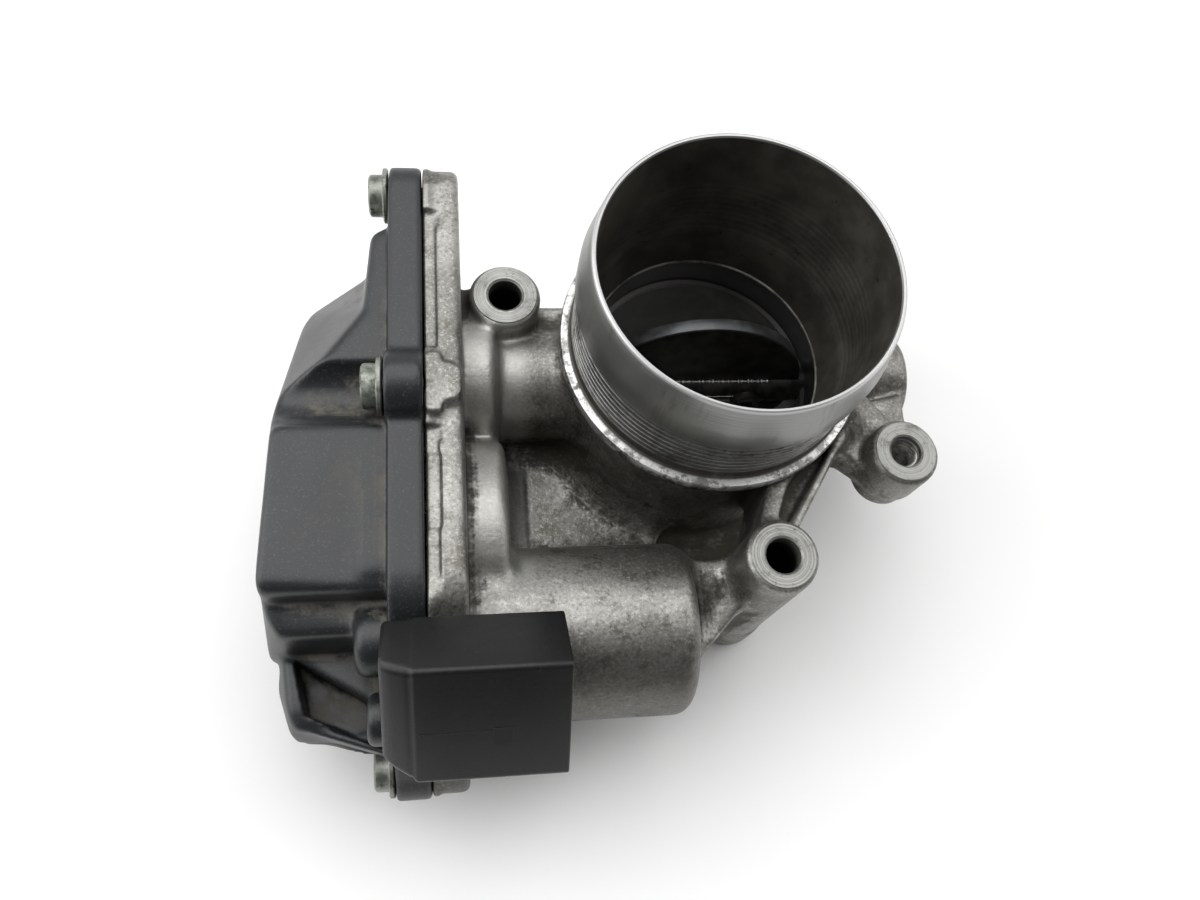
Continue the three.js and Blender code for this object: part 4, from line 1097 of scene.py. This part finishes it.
def make_shroud_marks():
    """Fine parting line and a small square mould pad on the shroud's wide face."""
    points, faces = [], []
    line, pad = (-0.07, -62.5, -50.1, 13.6, 13.85), (-0.09, -50.0, -46.6, 13.0, 16.8)
    for face, x0, x1, u0, u1 in (line, pad):
        start = len(points)
        for v in (face, 0.5):
            for x, u in ((x0, u0), (x1, u0), (x1, u1), (x0, u1)):
                points.append((x, *shroud_point(u, v)))
        for quad in ((0, 1, 2, 3), (4, 7, 6, 5), (0, 4, 5, 1), (1, 5, 6, 2), (2, 6, 7, 3), (3, 7, 4, 0)):
            faces.append([start + i for i in quad])
    bevelled(closed_object("shroud_marks", points, faces, SHROUD, smooth=False, **COVER), 0.04)


make_shroud_marks()


def make_neck():
    """Neck of the cover that carries the shroud on the band."""
    outline = [shroud_point(2.5, 13), shroud_point(19, 13), (-74, 34), (-58, 46)]
    f = Field((-71, -84, 30), (-58, -50, 62), VOXEL)
    f.add(plate_x(hull_of(outline), COVER_BAND_X + 0.4, COVER_IN_X, 0.6), 0.4)
    field_object("shroud_neck", f, f.crowding(6.0), PLASTIC, **COVER)


make_neck()


# ------------------------------------------------------------------ screws
def make_cover_screw(index, y, z):
    """Collared screw with a hexagon socket, its head towards -X."""
    name, seat = f"cover_screw_{index}", seat_of(y, z)
    sides, hexes = 48, 6
    profile = [(0, -2.6), (2.2, -2.6), (2.35, -2.75), (2.35, -4.0), (2.6, -4.25), (3.9, -4.25)]
    profile += [(4.4, -3.9), (4.5, -3.5), (4.5, -1.5), (4.6, -1.3), (5.6, -1.25), (5.85, -1.0)]
    profile += [(5.85, -0.4), (5.6, -0.15), (2.2, -0.15), (2.0, -0.1), (2.0, 7.0), (1.6, 7.6), (0, 7.6)]
    points, faces = [], []
    for i in range(sides):
        t = 2 * math.pi * i / sides
        flat = math.cos(math.pi / hexes) / math.cos((t % (2 * math.pi / hexes)) - math.pi / hexes)
        for j, (r, h) in enumerate(profile):
            squeeze = flat if 0 < j < 4 else 1.0
            points.append((seat + h, y + r * squeeze * math.cos(t), z + r * squeeze * math.sin(t)))
    count = len(profile)
    for i in range(sides):
        for j in range(count - 1):
            k = (i + 1) % sides
            faces.append((i * count + j, i * count + j + 1, k * count + j + 1, k * count + j))
    shown = name + "_shown"
    closed_object(shown, points, faces, ZINC, sharp=35, replaces=[name], slot="screw_zinc")


for number, (sy, sz) in enumerate(COVER_SCREWS, 1):
    make_cover_screw(number, sy, sz)


# ------------------------------------------------------------------ plate and shaft
def turned_with_plate(obj):
    """Turns a mesh drawn flat about the shaft to the plate's rest angle."""
    pivot = Matrix.Translation(Vector(SHAFT_AT) * MM + BORE_AT)
    obj.data.transform(pivot @ Matrix.Rotation(PLATE_OPEN, 4, "X") @ pivot.inverted())


def make_plate():
    half = PLATE_THICK / 2
    face = [(0, half), (PLATE_R - 0.5, half), (PLATE_R - 0.1, half - 0.15)]
    rim = [(PLATE_R, half - 0.35), (PLATE_R, -half + 0.35), (PLATE_R - 0.1, -half + 0.15)]
    back = [(PLATE_R - 0.5, -half), (0, -half)]
    disc = turned(
        "plate_disc", split_long(face + rim + back, 2.0), SOOTY, at=SHAFT_AT, sides=128,
        body="throttle", replaces=["throttle_plate"], slot="plate_metal",
    )
    disc.data.materials.append(EDGE)
    for polygon in disc.data.polygons:
        centre = (polygon.center - BORE_AT) / MM
        if math.hypot(centre.x, centre.y) > PLATE_R - 0.6:
            polygon.material_index = 1
    turned_with_plate(disc)


def make_shaft():
    """Round shaft with a steel tip; the plate runs through its middle."""
    profile = [(0, -73.2), (SHAFT_R - 0.3, -73.2), (SHAFT_R, -72.9)]
    profile += [(SHAFT_R, 44.7), (SHAFT_R - 0.3, 45), (0, 45)]
    turned("shaft_rod", split_long(profile, 3.0), SOOTY, axis="X", at=SHAFT_AT, sides=64, **SHAFT)
    tip = [(0, -75.5), (2.3, -75.5), (2.6, -75.2), (2.6, -73.0), (0, -73.0)]
    turned("shaft_tip", tip, STEEL, axis="X", at=SHAFT_AT, sides=40, **SHAFT)


def make_plate_screw(index, x):
    low = SHAFT_R + 0.1
    profile = [(0, low + 0.9), (1.3, low + 0.9), (1.45, low + 1.6), (2.9, low + 1.8)]
    profile += [(3.4, low + 1.4), (3.4, low), (1.9, low - 0.1), (1.9, -4.8), (0, -4.8)]
    screw = turned(
        f"plate_screw_{index}_shown", profile, SOOTY, at=(x, 0, SHAFT_Z), sides=40,
        body="throttle", replaces=[f"plate_screw_{index}"], slot="steel",
    )
    turned_with_plate(screw)


def make_shaft_highlight():
    """Bright broken strip along the shaft beside the plate, and a fainter one under it: a painted
    highlight on the shaft.
    """
    steps, sides = 260, 6
    points, faces = [], []
    for y, z, size, x0, x1 in ((3.98, 1.85, 0.52, -15, 17), (1.2, 4.25, 0.2, -8, 9)):
        start = len(points)
        for i in range(steps + 1):
            x = x0 + (x1 - x0) * i / steps
            ragged = math.sin(i * 0.83) * math.sin(i * 0.171 + 1) + 0.6 * math.sin(i * 1.93 + 0.4)
            r = size * (0.18 + 0.62 * max(0.0, ragged))
            points += [(x, y + r * c, SHAFT_Z + z + r * s) for c, s in circle(sides)]
        faces += loft(steps, sides, start)
        faces.append(tuple(range(start, start + sides)))
        faces.append(tuple(range(start + steps * sides, start + steps * sides + sides)))
    turned_with_plate(closed_object("shaft_highlight_strips", points, faces, SHAFT_HIGHLIGHT, **SHAFT))


make_plate()
make_shaft()
make_shaft_highlight()
make_plate_screw(1, -PLATE_SCREW_X)
make_plate_screw(2, PLATE_SCREW_X)

# ------------------------------------------------------------------ carried-over CAD nodes
FINISHES = {
    "rubber": RUBBER, "steel": STEEL, "screw_zinc": ZINC, "plate_metal": SOOTY, "gear_plastic": GEAR,
    "brass": BRASS, "copper": COPPER, "board": BOARD, "ferrite": FERRITE, "carbon": BLACK,
    "inner_plastic": BLACK, "casting": CASTING, "cover_plastic": PLASTIC,
}
for entry in frame["record"]["subparts"]:
    node = frame["nodes"][entry["node"]]
    finish = FINISHES[entry["material_slot"]]
    if not node.data.materials:
        node.data.materials.append(finish)
    for spot in node.material_slots:
        spot.material = finish


# ------------------------------------------------------------------ floor and light
FLOOR_REACH, FLOOR_DROP = 25.0, 0.0002
LIT_POINT = Vector((0, 0, 0.03))


def make_floor():
    mesh = bpy.data.meshes.new("floor")
    signs = (-1, -1), (1, -1), (1, 1), (-1, 1)
    corners = [(x * FLOOR_REACH, y * FLOOR_REACH, 0) for x, y in signs]
    mesh.from_pydata(corners, [], [(0, 1, 2, 3)])
    floor = placed("floor", mesh)
    floor.location.z = -FLOOR_DROP
    mesh.materials.append(Nodes("floor").finish((0.93, 0.93, 0.925), 0.9))


def make_light(name, at, size, power):
    data = bpy.data.lights.new(name, "AREA")
    data.size = size
    data.energy = power
    light = placed(name, data)
    light.location = at
    light.rotation_euler = (LIT_POINT - Vector(at)).to_track_quat("-Z", "Y").to_euler()


def make_world():
    """Soft grey surroundings, brighter overhead and behind the part than in front of it."""
    world = bpy.data.worlds.new("studio")
    world.use_nodes = True
    tree = world.node_tree
    where = tree.nodes.new("ShaderNodeTexCoord")
    split = tree.nodes.new("ShaderNodeSeparateXYZ")
    spread = tree.nodes.new("ShaderNodeMapRange")
    tree.links.new(where.outputs["Generated"], split.inputs["Vector"])
    tree.links.new(split.outputs["Y"], spread.inputs["Value"])
    for key, number in (("From Min", -0.7), ("From Max", 0.5), ("To Min", 0.16), ("To Max", 0.72)):
        spread.inputs[key].default_value = number
    background = tree.nodes["Background"]
    background.inputs["Color"].default_value = (1.0, 1.0, 1.0, 1.0)
    tree.links.new(spread.outputs["Result"], background.inputs["Strength"])
    bpy.context.scene.world = world


make_floor()
make_light("overhead", (-0.12, 0.28, 0.85), 0.8, 4.6)
make_light("left", (-0.8, 0.1, 0.5), 0.8, 5.2)
make_light("right", (0.7, 0.2, 0.6), 0.7, 2.4)
make_world()
bpy.context.scene.view_settings.view_transform = "Standard"
